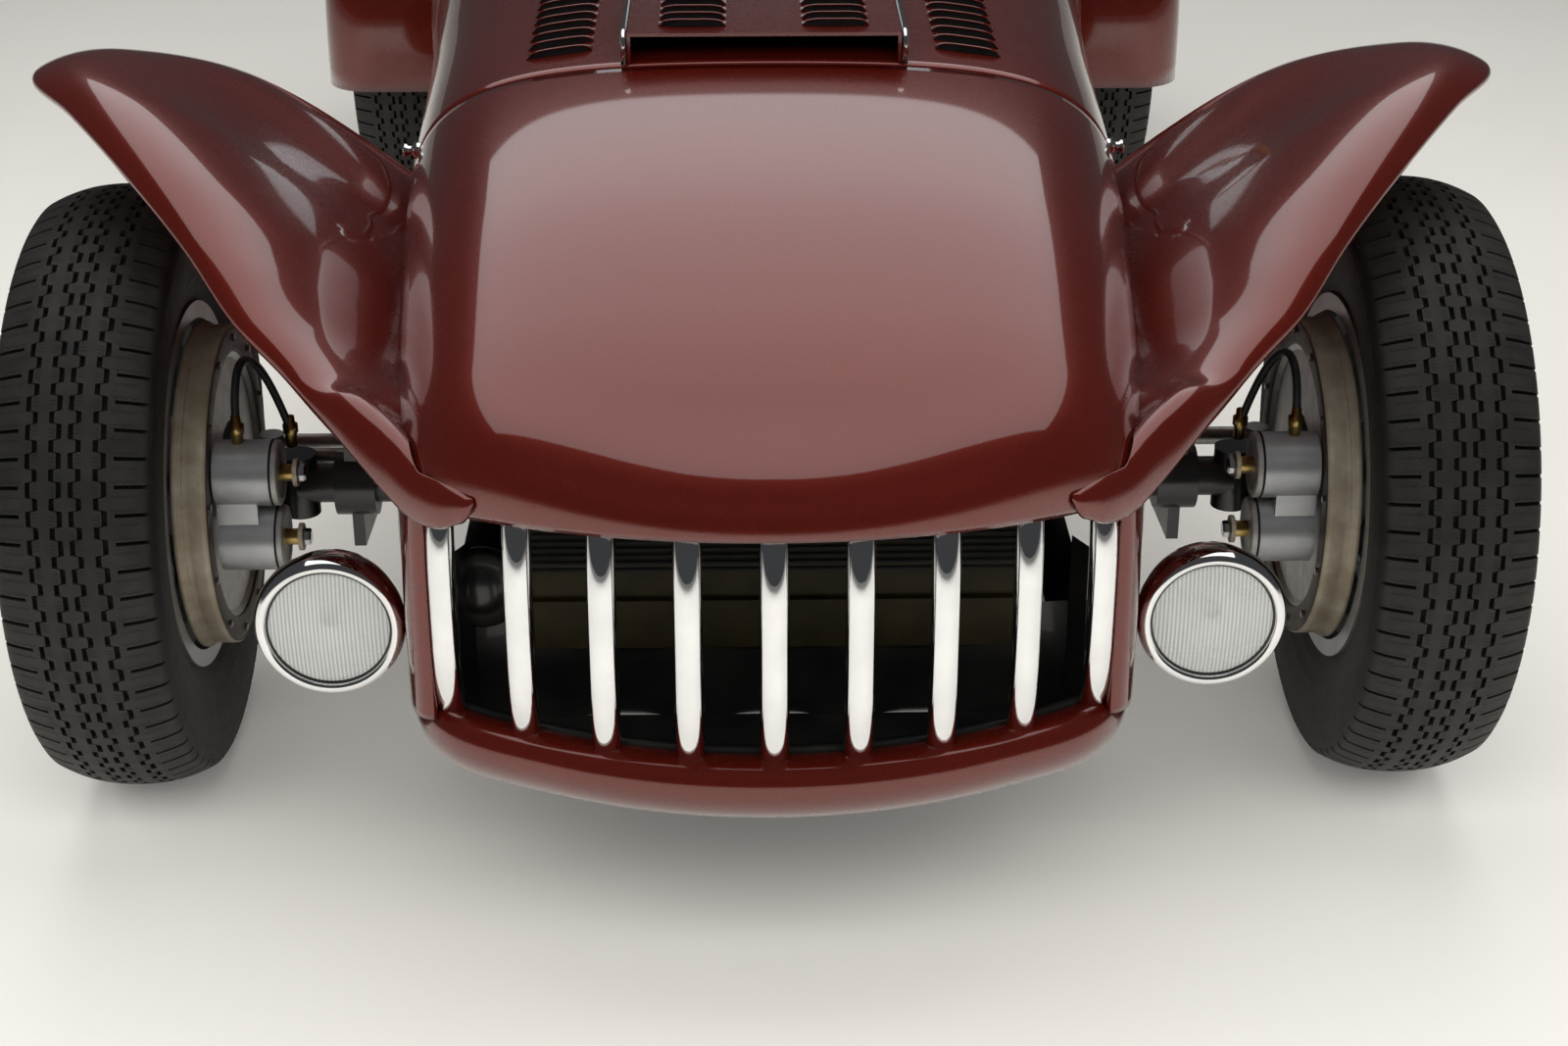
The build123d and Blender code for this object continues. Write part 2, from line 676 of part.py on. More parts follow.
def make_exhaust():
    """Two pipes under the floor, each through a silencer, ending in a collar under the tail."""
    x, z = PIPE_X, PIPE_Z
    front, rear = ENGINE_FRONT + 60, TAIL_Y - PIPE_SHORT
    with BuildPart() as pipe:
        add(rod((x, front, z), (x, rear, z), PIPE_RADIUS, PIPE_RADIUS - PIPE_WALL))
        add(rod((x, COCKPIT_REAR - 350, z), (x, COCKPIT_REAR + 50, z), SILENCER_RADIUS))
        add(rod((x, rear - COLLAR_LENGTH, z), (x, rear, z), COLLAR_RADIUS, PIPE_RADIUS - PIPE_WALL))
    save(both_sides(pipe.part), "exhaust")


make_rails()
make_cross_members()
make_front_axle()
make_radius_arms()
make_rear_axle()
make_rear_arms()
make_engine()
make_radiator()
make_exhaust()


# ------------------------------------------------------------------ cockpit
def plate_across(y, thickness, low, high):
    """Plate across the car at y, filling the body inside its skin between two heights."""
    return trimmed(LINING, (-WIDE, y, low), (WIDE, y + thickness, high))


def column_crossing(y):
    """Where the steering column passes the plane across the car at y, as x and z."""
    share = (y - BOX_CENTRE[1]) / (WHEEL_CENTRE[1] - BOX_CENTRE[1])
    x, _, z = [a + share * (b - a) for a, b in zip(BOX_CENTRE, WHEEL_CENTRE)]
    return x, z


def make_floor():
    """Flat floor each side of the tunnel."""
    front, rear = HOOD_REAR + 30, COCKPIT_REAR + 12
    with BuildPart() as floor:
        add(trimmed(LINING, (-WIDE, front, FLOOR_Z), (WIDE, rear, FLOOR_Z + FLOOR_SKIN)))
        add(block((-TUNNEL_HALF - 1, front - 5, 0), (TUNNEL_HALF + 1, rear + 5, 900)), mode=Mode.SUBTRACT)
    save(floor.part, "floor_pan")


def make_tunnel():
    """Sheet cover over the propeller shaft, open below."""
    front, rear = HOOD_REAR + 30, COCKPIT_REAR + 12
    with BuildPart() as tunnel:
        with BuildSketch(Plane.XZ.offset(-front)):
            with Locations((0, (TUNNEL_TOP + FLOOR_Z) / 2 - 60)):
                RectangleRounded(2 * TUNNEL_HALF, TUNNEL_TOP - FLOOR_Z + 120, 45)
                RectangleRounded(2 * TUNNEL_HALF - 6, TUNNEL_TOP - FLOOR_Z + 114, 42, mode=Mode.SUBTRACT)
        extrude(amount=-(rear - front))
        add(block((-200, front - 5, 0), (200, rear + 5, FLOOR_Z)), mode=Mode.SUBTRACT)
    save(tunnel.part, "transmission_tunnel")


def make_bulkheads():
    """Firewall ahead of the cockpit and the panel behind the seats."""
    wall_y, back_y = HOOD_REAR + 24, COCKPIT_REAR + 16
    with BuildPart() as walls:
        add(plate_across(wall_y, FLOOR_SKIN, RAIL_TOP + 2, 1200))
        add(plate_across(back_y, FLOOR_SKIN, FLOOR_Z, 1200))
        with BuildSketch(Plane.XZ.offset(-wall_y + 20)):
            with Locations(column_crossing(wall_y)):
                Circle(COLUMN_RADIUS + 12)
        extrude(amount=-60, mode=Mode.SUBTRACT)
        add(block((-90, wall_y - 5, 0), (90, wall_y + 10, TUNNEL_TOP + 40)), mode=Mode.SUBTRACT)
        add(block((-60, back_y - 5, 0), (60, back_y + 10, TUNNEL_TOP - 30)), mode=Mode.SUBTRACT)
    save(walls.part, "bulkheads")


def make_dashboard():
    """Dashboard under the scuttle's rear edge."""
    y = COCKPIT_FRONT - 22
    with BuildPart() as dashboard:
        add(plate_across(y, 12, 660, 1200))
        with BuildSketch(Plane.XZ.offset(-y + 20)):
            with Locations(column_crossing(y)):
                Circle(COLUMN_RADIUS + 10)
        extrude(amount=-60, mode=Mode.SUBTRACT)
    save(dashboard.part, "dashboard")


def make_propshaft():
    """Propeller shaft from the gearbox to the final drive."""
    save(rod((0, ENGINE_FRONT + ENGINE[1] + 2, AXLE_Z + 8), (0, REAR_Y - 214, AXLE_Z), 32), "propeller_shaft")


def make_seats():
    """Two bucket seats: cushion, backrest."""
    front, rear = COCKPIT_FRONT + 150, COCKPIT_REAR - 88
    with BuildPart() as seats:
        for side in (-1, 1):
            middle = side * SEAT_X
            half = SEAT_WIDTH / 2
            add(block((middle - half, front, FLOOR_Z + 6), (middle + half, rear - 70, FLOOR_Z + 130), 50))
            with BuildSketch(Plane.YZ.offset(middle - half + 8)):
                with BuildLine():
                    Polyline((rear - 66, FLOOR_Z + 100), (rear + 18, FLOOR_Z + 100), (rear + 60, FLOOR_Z + 450),
                             (rear + 5, FLOOR_Z + 490), (rear - 30, FLOOR_Z + 450), close=True)
                make_face()
            extrude(amount=SEAT_WIDTH - 16)
    save(seats.part, "seats")


def make_windscreen():
    """Low curved windscreen standing on the scuttle."""
    foot = COCKPIT_FRONT - 95
    outer, centre = 520.0, foot + 520.0
    with BuildPart() as screen:
        with BuildSketch(Plane.XY.offset(700)):
            with Locations((0, centre)):
                Circle(outer)
                Circle(outer - 5, mode=Mode.SUBTRACT)
                Rectangle(2 * 395, 4 * outer, mode=Mode.INTERSECT)
            with Locations((0, centre + outer)):
                Rectangle(4 * outer, 2.6 * outer, mode=Mode.SUBTRACT)
        extrude(amount=320)
        with BuildSketch(Plane.XZ.offset(-foot + 200)):
            with BuildLine():
                Polyline((-600, 600), (600, 600), (600, 800), close=False)
                ThreePointArc((600, 800), (0, 1030), (-600, 800))
                Line((-600, 800), (-600, 600))
            make_face()
        extrude(amount=-900, mode=Mode.INTERSECT)
        add(CLEAR, mode=Mode.SUBTRACT)
    save(screen.part, "windscreen")


make_floor()
make_tunnel()
make_bulkheads()
make_dashboard()
make_propshaft()
make_seats()
make_windscreen()


# ------------------------------------------------------------------ lamps and small fittings
def make_headlamps():
    """Bowl-shaped lamp bodies, each on a short stub from the side of the nose."""
    bowl = LAMP_RADIUS - 6
    with BuildPart() as lamp:
        with BuildSketch(Plane.YZ.offset(LAMP_X)):
            with BuildLine():
                Line((LAMP_Y, LAMP_Z), (LAMP_Y, LAMP_Z + bowl))
                Bezier((LAMP_Y, LAMP_Z + bowl), (LAMP_Y + 0.6 * LAMP_DEPTH, LAMP_Z + bowl),
                       (LAMP_Y + LAMP_DEPTH, LAMP_Z + 0.5 * bowl), (LAMP_Y + LAMP_DEPTH, LAMP_Z))
                Line((LAMP_Y + LAMP_DEPTH, LAMP_Z), (LAMP_Y, LAMP_Z))
            make_face()
        revolve(axis=Axis((LAMP_X, LAMP_Y, LAMP_Z), (0, 1, 0)))
        add(rod((LAMP_X - 10, LAMP_Y + 30, LAMP_Z), (LAMP_X - 110, LAMP_Y + 30, LAMP_Z), 11))
        add(CLEAR, mode=Mode.SUBTRACT)
    body = Part() + lamp.part.solids().sort_by(SortBy.VOLUME)[-1]
    save(both_sides(body), "headlamps")


def lamp_ring(outer, inner, front, back):
    """Ring or disc on the lamp's axis, front and back measured from the lamp's joint."""
    ring = rod((LAMP_X, LAMP_Y + front, LAMP_Z), (LAMP_X, LAMP_Y + back, LAMP_Z), outer, inner)
    return both_sides(ring)


def make_tail_lamps():
    """Round tail lamps on the tail's flanks."""
    y, z = REAR_Y + 660, 430
    save(both_sides(rod((230, y, z), (300, y + 40, z), 32)) - CLEAR, "tail_lamps")


def make_filler():
    """Fuel filler cap on the tail deck."""
    y = REAR_Y + 120
    top = station_value(y, 2)
    cap = rod((0, y, top - 20), (0, y, top + 32), 48) + rod((0, y, top - 20), (0, y, top + 12), 60)
    save(cap - CLEAR, "fuel_filler")


make_headlamps()
save(lamp_ring(LAMP_RADIUS, GLASS_RADIUS + 1, -18, -SEAT_GAP), "headlamp_rims")
save(lamp_ring(GLASS_RADIUS, 0, -16, -SEAT_GAP), "headlamp_lenses")
make_tail_lamps()
make_filler()


# ------------------------------------------------------------------ wheels and brakes
def turned(profile, x, y):
    """Revolve a closed outline of (x offset, radius) points about the axle line."""
    with BuildPart() as piece:
        with BuildSketch(Plane.XZ.offset(-y)):
            with BuildLine():
                Polyline(*[(x + a, AXLE_Z + r) for a, r in profile], close=True)
            make_face()
        revolve(axis=Axis((x, y, AXLE_Z), (1, 0, 0)))
    return piece.part


STUB_RADIUS = 14.0
RUNNING_GAP = 0.5
TREAD_HALF = 66.0
CASING = 12.0


def make_wheel(side, end, track, y):
    """Cast disc wheel with kidney slots, on the left side or mirrored to the right."""
    half, rim, wall = RIM_WIDTH / 2, RIM_RADIUS, RIM_WALL
    seat, well = rim - 14, rim - 34
    bore = STUB_RADIUS + RUNNING_GAP
    profile = (
        (-half, rim), (-half, seat - wall), (-half + 24, seat - wall), (-half + 36, well - wall),
        (-8, well - wall), (-4, 150), (-2, HUB_RADIUS), (-34, HUB_RADIUS), (-34, bore), (22, bore),
        (22, 0.0), (46, 0.0), (46, 22), (30, 40), (18, HUB_RADIUS), (12, 150), (16, well - wall),
        (half - 36, well - wall), (half - 24, seat - wall), (half, seat - wall), (half, rim),
        (half - wall, rim), (half - wall, seat), (half - 26, seat), (half - 38, well),
        (-half + 38, well), (-half + 26, seat), (-half + wall, seat), (-half + wall, rim),
    )
    x = track / 2
    with BuildPart() as wheel:
        add(turned(profile, x, y))
        with BuildSketch(Plane.YZ.offset(x - 30)) as slots:
            with Locations((y, AXLE_Z)):
                with PolarLocations(158, 10):
                    SlotCenterToCenter(26, 20, rotation=90)
        extrude(slots.sketch, amount=60, mode=Mode.SUBTRACT)
    name = f"wheel_{end}_{side}"
    save(wheel.part if side == "left" else mirror(wheel.part, about=Plane.YZ), name)


def make_tyre(side, end, track, y):
    """Hollow tyre casing seated on the rim."""
    half, outer = TYRE_WIDTH / 2, TYRE_RADIUS
    bead, seat = RIM_WIDTH / 2 - RIM_WALL - 1, RIM_RADIUS - 14 + SEAT_GAP
    profile = (
        (-bead, seat), (-bead, RIM_RADIUS + 2), (-half, RIM_RADIUS + 62), (-half + 3, outer - 50), (-TREAD_HALF, outer - 12),
        (-TREAD_HALF / 2, outer - 3), (0, outer), (TREAD_HALF / 2, outer - 3), (TREAD_HALF, outer - 12), (half - 3, outer - 50),
        (half, RIM_RADIUS + 62), (bead, RIM_RADIUS + 2), (bead, seat), (bead - CASING, seat),
        (bead - CASING, RIM_RADIUS + 8), (half - CASING, RIM_RADIUS + 62), (TREAD_HALF - 8, outer - 12 - 2 * CASING),
        (8 - TREAD_HALF, outer - 12 - 2 * CASING), (CASING - half, RIM_RADIUS + 62), (CASING - bead, RIM_RADIUS + 8),
        (CASING - bead, seat),
    )
    tyre = turned(profile, track / 2, y)
    save(tyre if side == "left" else mirror(tyre, about=Plane.YZ), f"tyre_{end}_{side}")


def make_disc(side):
    """Front brake disc with its bolted outer ring."""
    face, ring = DISC_THICKNESS / 2, 9
    x = FRONT_TRACK / 2 - DISC_X
    profile = (
        (-x - face, HUB_RADIUS + 14), (-x - face, DISC_RADIUS), (-x - ring, DISC_RADIUS + 6),
        (-x - ring, DISC_RING_RADIUS), (-x + 24, DISC_RING_RADIUS), (-x + 24, DISC_RING_RADIUS - 14),
        (-x + ring, DISC_RADIUS + 8), (-x + face, DISC_RADIUS), (-x + face, HUB_RADIUS + 14),
    )
    disc = turned(profile, FRONT_TRACK / 2, FRONT_Y)
    save(disc if side == "left" else mirror(disc, about=Plane.YZ), f"brake_disc_{side}")


CALIPER_Y = FRONT_Y - 112.0
CYLINDER_RADIUS = 38.0


def make_caliper(side):
    """Twin-cylinder caliper reaching round the inner edge of the disc."""
    inboard = DISC_X - 14
    low, high = AXLE_Z - 17, AXLE_Z + 64
    with BuildPart() as caliper:
        for z in (low, high):
            add(rod((DISC_X - 78, CALIPER_Y, z), (inboard, CALIPER_Y, z), CYLINDER_RADIUS))
        add(block((DISC_X - 60, CALIPER_Y - 26, low), (inboard, CALIPER_Y + 26, high)))
        for z in (low, high):
            add(rod((DISC_X - 92, CALIPER_Y, z), (DISC_X - 78, CALIPER_Y, z), 9))
    piece = caliper.part
    save(piece if side == "left" else mirror(piece, about=Plane.YZ), f"caliper_{side}")


# ------------------------------------------------------------------ steering
def make_knuckle(side):
    """Kingpin barrel, stub axle, caliper bracket and the arms that the steering rods work on."""
    outer = FRONT_TRACK / 2 + 20
    plate = ROD_Z - ROD_EYE_RADIUS - 2 * JOINT_GAP
    with BuildPart() as knuckle:
        add(rod((KINGPIN_X, FRONT_Y, AXLE_Z - 24), (KINGPIN_X, FRONT_Y, AXLE_Z + 24), 20))
        add(rod((KINGPIN_X, FRONT_Y, AXLE_Z), (outer, FRONT_Y, AXLE_Z), STUB_RADIUS))
        add(block((KINGPIN_X - 13, FRONT_Y, plate - 10), (KINGPIN_X + 13, FRONT_Y + TIE_ARM + 14, plate)))
        add(block((KINGPIN_X - 8, CALIPER_Y + CYLINDER_RADIUS + SEAT_GAP, AXLE_Z - 15), (KINGPIN_X + 12, FRONT_Y, AXLE_Z + 15)))
    piece = knuckle.part
    save(piece if side == "left" else mirror(piece, about=Plane.YZ), f"knuckle_{side}")


def rod_eye(x, y):
    """Upright eye at the end of a steering rod."""
    low = ROD_Z - ROD_EYE_RADIUS - JOINT_GAP
    return rod((x, y, low), (x, y, ROD_Z + ROD_EYE_RADIUS - 3), ROD_EYE_RADIUS)


def make_steering_rods():
    """Tie rod between the knuckles, and the drag link from the steering box to the right one."""
    tie_y, link_y = FRONT_Y + TIE_ARM, FRONT_Y + LINK_ARM
    with BuildPart() as tie:
        add(rod((-KINGPIN_X, tie_y, ROD_Z), (KINGPIN_X, tie_y, ROD_Z), ROD_RADIUS))
        for side in (-1, 1):
            add(rod_eye(side * KINGPIN_X, tie_y))
    save(tie.part, "tie_rod")
    with BuildPart() as link:
        add(rod((-KINGPIN_X, link_y, ROD_Z), (PITMAN_X, link_y, ROD_Z), ROD_RADIUS))
        add(rod_eye(-KINGPIN_X, link_y))
        add(rod_eye(PITMAN_X, link_y))
    save(link.part, "drag_link")


def make_pitman_arm():
    """Arm under the steering box that swings the drag link."""
    low = ROD_Z + ROD_EYE_RADIUS + JOINT_GAP
    pivot = FRONT_Y + LINK_ARM + PITMAN_ARM
    with BuildPart() as arm:
        add(block((PITMAN_X - 12, FRONT_Y + LINK_ARM - 14, low), (PITMAN_X + 12, pivot, low + 10)))
        add(rod((PITMAN_X, pivot, low), (PITMAN_X, pivot, low + 10), 18))
    save(arm.part, "pitman_arm")


def make_column():
    """Steering box on the left rail, with the column tube up to the dashboard."""
    low = ROD_Z + ROD_EYE_RADIUS + 2 * JOINT_GAP + 10
    pivot = FRONT_Y + LINK_ARM + PITMAN_ARM
    start, end = Vector(*BOX_CENTRE), Vector(*WHEEL_CENTRE)
    along = (end - start).normalized()
    with BuildPart() as column:
        add(block((PITMAN_X - 30, pivot - 30, low), (PITMAN_X + 30, pivot + 80, low + 66), 12))
        add(block((PITMAN_X - 20, pivot + 34, RAIL_TOP + SEAT_GAP), (PITMAN_X + 20, pivot + 78, low + 10)))
        add(rod(start, end - along * 60, COLUMN_RADIUS))
    save(column.part, "steering_column")


def make_steering_wheel():
    """Three-spoke steering wheel square to its column."""
    start, end = Vector(*BOX_CENTRE), Vector(*WHEEL_CENTRE)
    along = (end - start).normalized()
    plane = Plane(origin=end, x_dir=(1, 0, 0), z_dir=along)
    across, up = plane.x_dir, plane.y_dir
    with BuildPart() as wheel:
        with BuildSketch(Plane(origin=end + across * STEERING_WHEEL_RADIUS, x_dir=across, z_dir=up)):
            Circle(12)
        revolve(axis=Axis(end, along))
        add(rod(end - along * 52, end + along * 8, 30))
        for angle in (90, 210, 330):
            tip = end + (across * cos(radians(angle)) + up * sin(radians(angle))) * STEERING_WHEEL_RADIUS
            add(rod(end, tip, 6))
    save(wheel.part, "steering_wheel")


for name in ("left", "right"):
    make_wheel(name, "front", FRONT_TRACK, FRONT_Y)
    make_wheel(name, "rear", REAR_TRACK, REAR_Y)
    make_tyre(name, "front", FRONT_TRACK, FRONT_Y)
    make_tyre(name, "rear", REAR_TRACK, REAR_Y)
    make_disc(name)
    make_caliper(name)
    make_knuckle(name)
make_steering_rods()
make_pitman_arm()
make_column()
make_steering_wheel()
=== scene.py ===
"""Looks of the vintage sports racing car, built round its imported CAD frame.

In metres: the car faces -Y, its left is +X and Z is up.
"""
import json
from math import cos, pi, radians, sin, sqrt

import bpy
import bmesh
import numpy as np
from mathutils import Matrix, Vector


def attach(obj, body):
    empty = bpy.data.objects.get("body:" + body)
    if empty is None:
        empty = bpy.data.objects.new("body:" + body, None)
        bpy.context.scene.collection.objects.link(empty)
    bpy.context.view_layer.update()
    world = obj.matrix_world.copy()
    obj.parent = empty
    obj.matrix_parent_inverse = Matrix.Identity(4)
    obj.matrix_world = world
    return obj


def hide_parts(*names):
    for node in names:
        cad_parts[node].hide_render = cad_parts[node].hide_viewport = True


# ------------------------------------------------------------------ sizes, the same as the CAD part's
NOSE_Y, FRONT_Y, REAR_Y, TAIL_Y = -1.820, -1.215, 1.020, 1.820
AXLE_Z = 0.3545
HOOD_FRONT, HOOD_REAR = -1.110, -0.315
COCKPIT_FRONT, COCKPIT_REAR, TAIL_SEAM = -0.040, 0.630, 0.680
CHIN_TOP, BODY_FLOOR, HOOD_SEAM, COCKPIT_SIDE = 0.302, 0.228, 0.684, 0.592
HOOD_GAP, HOOD_LEAN, PANEL_GAP = 0.006, 0.028, 0.002
SKIN, FULLNESS, SILL_RADIUS = 0.004, 0.888, 0.058
NOSE_PLAN_RADIUS = 0.563
GRILLE_HALF, GRILLE_TOP, GRILLE_CORNER = 0.347, 0.560, 0.028
STATIONS = (
    (-1.895, 0.328, 0.505, 0.425), (-1.715, 0.368, 0.652, 0.470), (-1.595, 0.384, 0.717, 0.492),
    (-1.395, 0.405, 0.783, 0.512), (-1.115, 0.428, 0.830, 0.530), (-0.715, 0.447, 0.853, 0.540),
    (-0.310, 0.475, 0.870, 0.560), (-0.040, 0.508, 0.880, 0.578), (0.630, 0.536, 0.828, 0.560),
    (1.020, 0.522, 0.772, 0.520), (1.385, 0.455, 0.682, 0.455), (1.610, 0.362, 0.588, 0.405),
    (1.740, 0.262, 0.508, 0.372), (1.820, 0.120, 0.425, 0.345),
)
# The fender's curves from lip to root, as four control points (x, y behind the front axle, z) in mm
FENDER_TIP = (
    ((306, -524, 549), (305, -530, 562), (299, -528, 588), (285, -515, 568)),
    ((330, -512, 540), (331, -518, 566), (322, -500, 606), (300, -488, 565)),
    ((358, -490, 541), (358, -495, 575), (348, -468, 618), (322, -458, 570)),
    ((384, -466, 556), (390, -458, 597), (392, -422, 642), (356, -425, 590)),
    ((430, -420, 590), (434, -411, 624), (428, -382, 656), (364, -392, 592)),
)
# Then by angle from straight ahead round the axle: lip, two handles and root as (x, radius) in mm
FENDER_SWEEP = (
    (38.0, (492, 445), (474, 466), (428, 446), (366, 400)),
    (46.0, (548, 445), (515, 470), (442, 388), (374, 318)),
    (57.0, (604, 449), (560, 488), (468, 366), (378, 284)),
    (70.0, (678, 461), (610, 510), (499, 370), (384, 266)),
    (84.0, (757, 474), (670, 532), (533, 380), (390, 260)),
    (97.0, (822, 486), (715, 548), (564, 394), (397, 266)),
    (108.0, (800, 500), (700, 548), (554, 404), (402, 276)),
    (122.0, (702, 504), (630, 540), (520, 440), (415, 330)),
    (139.0, (630, 520), (580, 540), (500, 480), (420, 410)),
    (157.0, (588, 568), (540, 568), (480, 545), (425, 505)),
)
FENDER_SKIN, BEAD_RADIUS, ROOT_OVERLAP = 0.005, 0.009, 0.03
SIDES = ((1, "left"), (-1, "right"))


# ------------------------------------------------------------------ small helpers
def clamped(value):
    """The value, kept between 0 and 1."""
    return min(max(value, 0.0), 1.0)


def running(steps):
    """Distance from the start to each point, from the steps between the points."""
    return np.concatenate(([0], np.cumsum(steps)))


def flat(rows):
    """The points of all the rows in one list."""
    return [point for row in rows for point in row]


def four_round(index, count):
    """The two places round a gap in a list and one more on either side, kept inside the list."""
    return [min(max(index + move, 0), count - 1) for move in (-1, 0, 1, 2)]


def heading(points, index):
    """Step from the point before one to the point after it."""
    return points[min(index + 1, len(points) - 1)] - points[max(index - 1, 0)]


def eased(values, places, t):
    """Smooth value at a share t of the way between the middle two of four values."""
    v0, v1, v2, v3 = values
    y0, y1, y2, y3 = places
    run = y2 - y1
    leave, arrive = run * (v2 - v0) / (y2 - y0), run * (v3 - v1) / (y3 - y1)
    return (v1 * (2 * t**3 - 3 * t**2 + 1) + leave * (t**3 - 2 * t**2 + t)
            + v2 * (3 * t**2 - 2 * t**3) + arrive * (t**3 - t**2))


def smooth_value(table, place, column):
    """Smooth value of a table column at a place given in the table's first column."""
    index = 0
    while index < len(table) - 2 and place > table[index + 1][0]:
        index += 1
    rows = [table[k] for k in four_round(index, len(table))]
    places = [row[0] for row in rows]
    return eased([row[column] for row in rows], places, (place - places[1]) / (places[2] - places[1]))


def bezier(points, t):
    """Point of a cubic curve through its four control points."""
    a, b, c, d = points
    s = 1 - t
    return a * (s**3) + b * (3 * s * s * t) + c * (3 * s * t * t) + d * (t**3)


def shade_smooth(obj):
    """Smooth shading on every face."""
    for face in obj.data.polygons:
        face.use_smooth = True


def change_mesh(data, change):
    """Runs one bmesh operation on a mesh."""
    work = bmesh.new()
    work.from_mesh(data)
    change(work)
    work.to_mesh(data)
    work.free()


def mesh_object(name, verts, faces):
    """New smooth mesh object in the scene, with shared corners merged."""
    data = bpy.data.meshes.new(name)
    data.from_pydata([tuple(v) for v in verts], [], faces)
    data.validate()
    obj = bpy.data.objects.new(name, data)
    bpy.context.scene.collection.objects.link(obj)
    change_mesh(data, lambda work: bmesh.ops.remove_doubles(work, verts=work.verts, dist=1e-5))
    shade_smooth(obj)
    return obj


def grid_faces(rows, columns, start=0, close=False, flip=False):
    """Quads of a rows by columns grid of points, wrapped round the columns if closed."""
    faces = []
    for i in range(rows - 1):
        for j in range(columns if close else columns - 1):
            k = (j + 1) % columns
            quad = [start + i * columns + j, start + i * columns + k,
                    start + (i + 1) * columns + k, start + (i + 1) * columns + j]
            faces.append(quad[::-1] if flip else quad)
    return faces


def add_modifier(obj, kind, **values):
    """Adds a modifier with its settings."""
    modifier = obj.modifiers.new(kind.lower(), kind)
    for key, value in values.items():
        setattr(modifier, key, value)


def finish_piece(obj, body, material, nodes=()):
    """Puts a piece on its body with a material, and hides the CAD nodes it stands for."""
    obj.data.materials.clear()
    obj.data.materials.append(material)
    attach(obj, body)
    if nodes:
        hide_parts(*nodes)


# ------------------------------------------------------------------ materials
def new_material(name):
    """New material with its node tree and its shader."""
    material = bpy.data.materials.new(name)
    material.use_nodes = True
    return material, material.node_tree, material.node_tree.nodes["Principled BSDF"]


def set_inputs(shader, **values):
    """Sets shader sockets by name, with _ for a space."""
    for key, value in values.items():
        shader.inputs[key.replace("_", " ")].default_value = value


def new_node(tree, kind, values=None, links=None):
    """New shader node, with some of its inputs set and some linked."""
    node = tree.nodes.new("ShaderNode" + kind)
    for socket, value in (values or {}).items():
        node.inputs[socket].default_value = value
    for socket, output in (links or {}).items():
        tree.links.new(output, node.inputs[socket])
    return node


def link(tree, shader, **outputs):
    """Links outputs to the shader's sockets by name, with _ for a space."""
    for key, output in outputs.items():
        tree.links.new(output, shader.inputs[key.replace("_", " ")])


def noise(tree, scale, detail=4.0):
    """Noise factor over object coordinates."""
    place = new_node(tree, "TexCoord").outputs["Object"]
    texture = new_node(tree, "TexNoise", {"Scale": scale, "Detail": detail, "Roughness": 0.55},
                       {"Vector": place})
    return texture.outputs["Fac"]


def ramp(tree, factor, stops):
    """Blend of two colours given as (position, colour) pairs."""
    node = new_node(tree, "ValToRGB", links={"Fac": factor})
    for end, (position, colour) in zip(node.color_ramp.elements, stops):
        end.position, end.color = position, (*colour, 1)
    return node.outputs["Color"]


def map_range(tree, factor, low, high):
    """Factor stretched from 0..1 to low..high."""
    node = new_node(tree, "MapRange", {"To Min": low, "To Max": high}, {"Value": factor})
    return node.outputs["Result"]


def bump(tree, scale, detail, strength, distance):
    """Normal of a bumpy grain."""
    node = new_node(tree, "Bump", {"Strength": strength, "Distance": distance},
                    {"Height": noise(tree, scale, detail)})
    return node.outputs["Normal"]


def mottled(name, dark, light, scale=30.0, low_rough=0.4, high_rough=0.6, metallic=0.0,
            grain=0.15, grain_scale=400.0, depth=0.0004, **sockets):
    """General surface: two mottled colours, uneven roughness and a fine grain."""
    material, tree, shader = new_material(name)
    link(tree, shader, Base_Color=ramp(tree, noise(tree, scale, 5.0), ((0.32, dark), (0.68, light))),
         Roughness=map_range(tree, noise(tree, scale * 2.3, 3.0), low_rough, high_rough),
         Normal=bump(tree, grain_scale, 3.0, grain, depth))
    set_inputs(shader, Metallic=metallic, **sockets)
    return material


def paint_material(name, dark, light, glow):
    """Deep gloss paint: tinted flake under clear lacquer, with a trace of orange peel."""
    material, tree, shader = new_material(name)
    link(tree, shader, Base_Color=ramp(tree, noise(tree, 3.0, 2.0), ((0.35, dark), (0.65, light))),
         Roughness=map_range(tree, noise(tree, 40.0), 0.24, 0.30),
         Normal=bump(tree, 900.0, 2.0, 0.02, 0.0001))
    set_inputs(shader, IOR=1.6, Specular_IOR_Level=0.6, Specular_Tint=(*glow, 1),
               Coat_Weight=1.0, Coat_Roughness=0.05, Coat_IOR=1.6)
    return material


# Each mottled one: name, dark and light colour, patches in a metre, least and most roughness,
# metal, then strength, scale and depth of the grain
MAROON = paint_material("maroon_paint", (0.062, 0.0050, 0.0028), (0.072, 0.0058, 0.0032),
                        (1.0, 0.16, 0.10))
BLACK_PAINT = mottled("black_paint", (0.006, 0.006, 0.006), (0.014, 0.013, 0.012), 14, 0.22, 0.42,
                      grain=0.1, grain_scale=160, Coat_Weight=0.3)
CHROME = mottled("chrome", (0.80, 0.80, 0.81), (0.88, 0.88, 0.88), 20, 0.03, 0.07, 1.0, 0.02, 500)
STEEL = mottled("steel", (0.30, 0.29, 0.28), (0.44, 0.43, 0.41), 50, 0.28, 0.45, 1.0, 0.15, 600)
ALLOY = mottled("cast_alloy", (0.36, 0.35, 0.33), (0.52, 0.51, 0.48), 60, 0.42, 0.6, 0.75, 0.5, 900, 0.0006)
WHEEL_SILVER = mottled("wheel_silver", (0.36, 0.365, 0.37), (0.47, 0.475, 0.48),
                       18, 0.30, 0.42, 0.7, 0.15, 700)
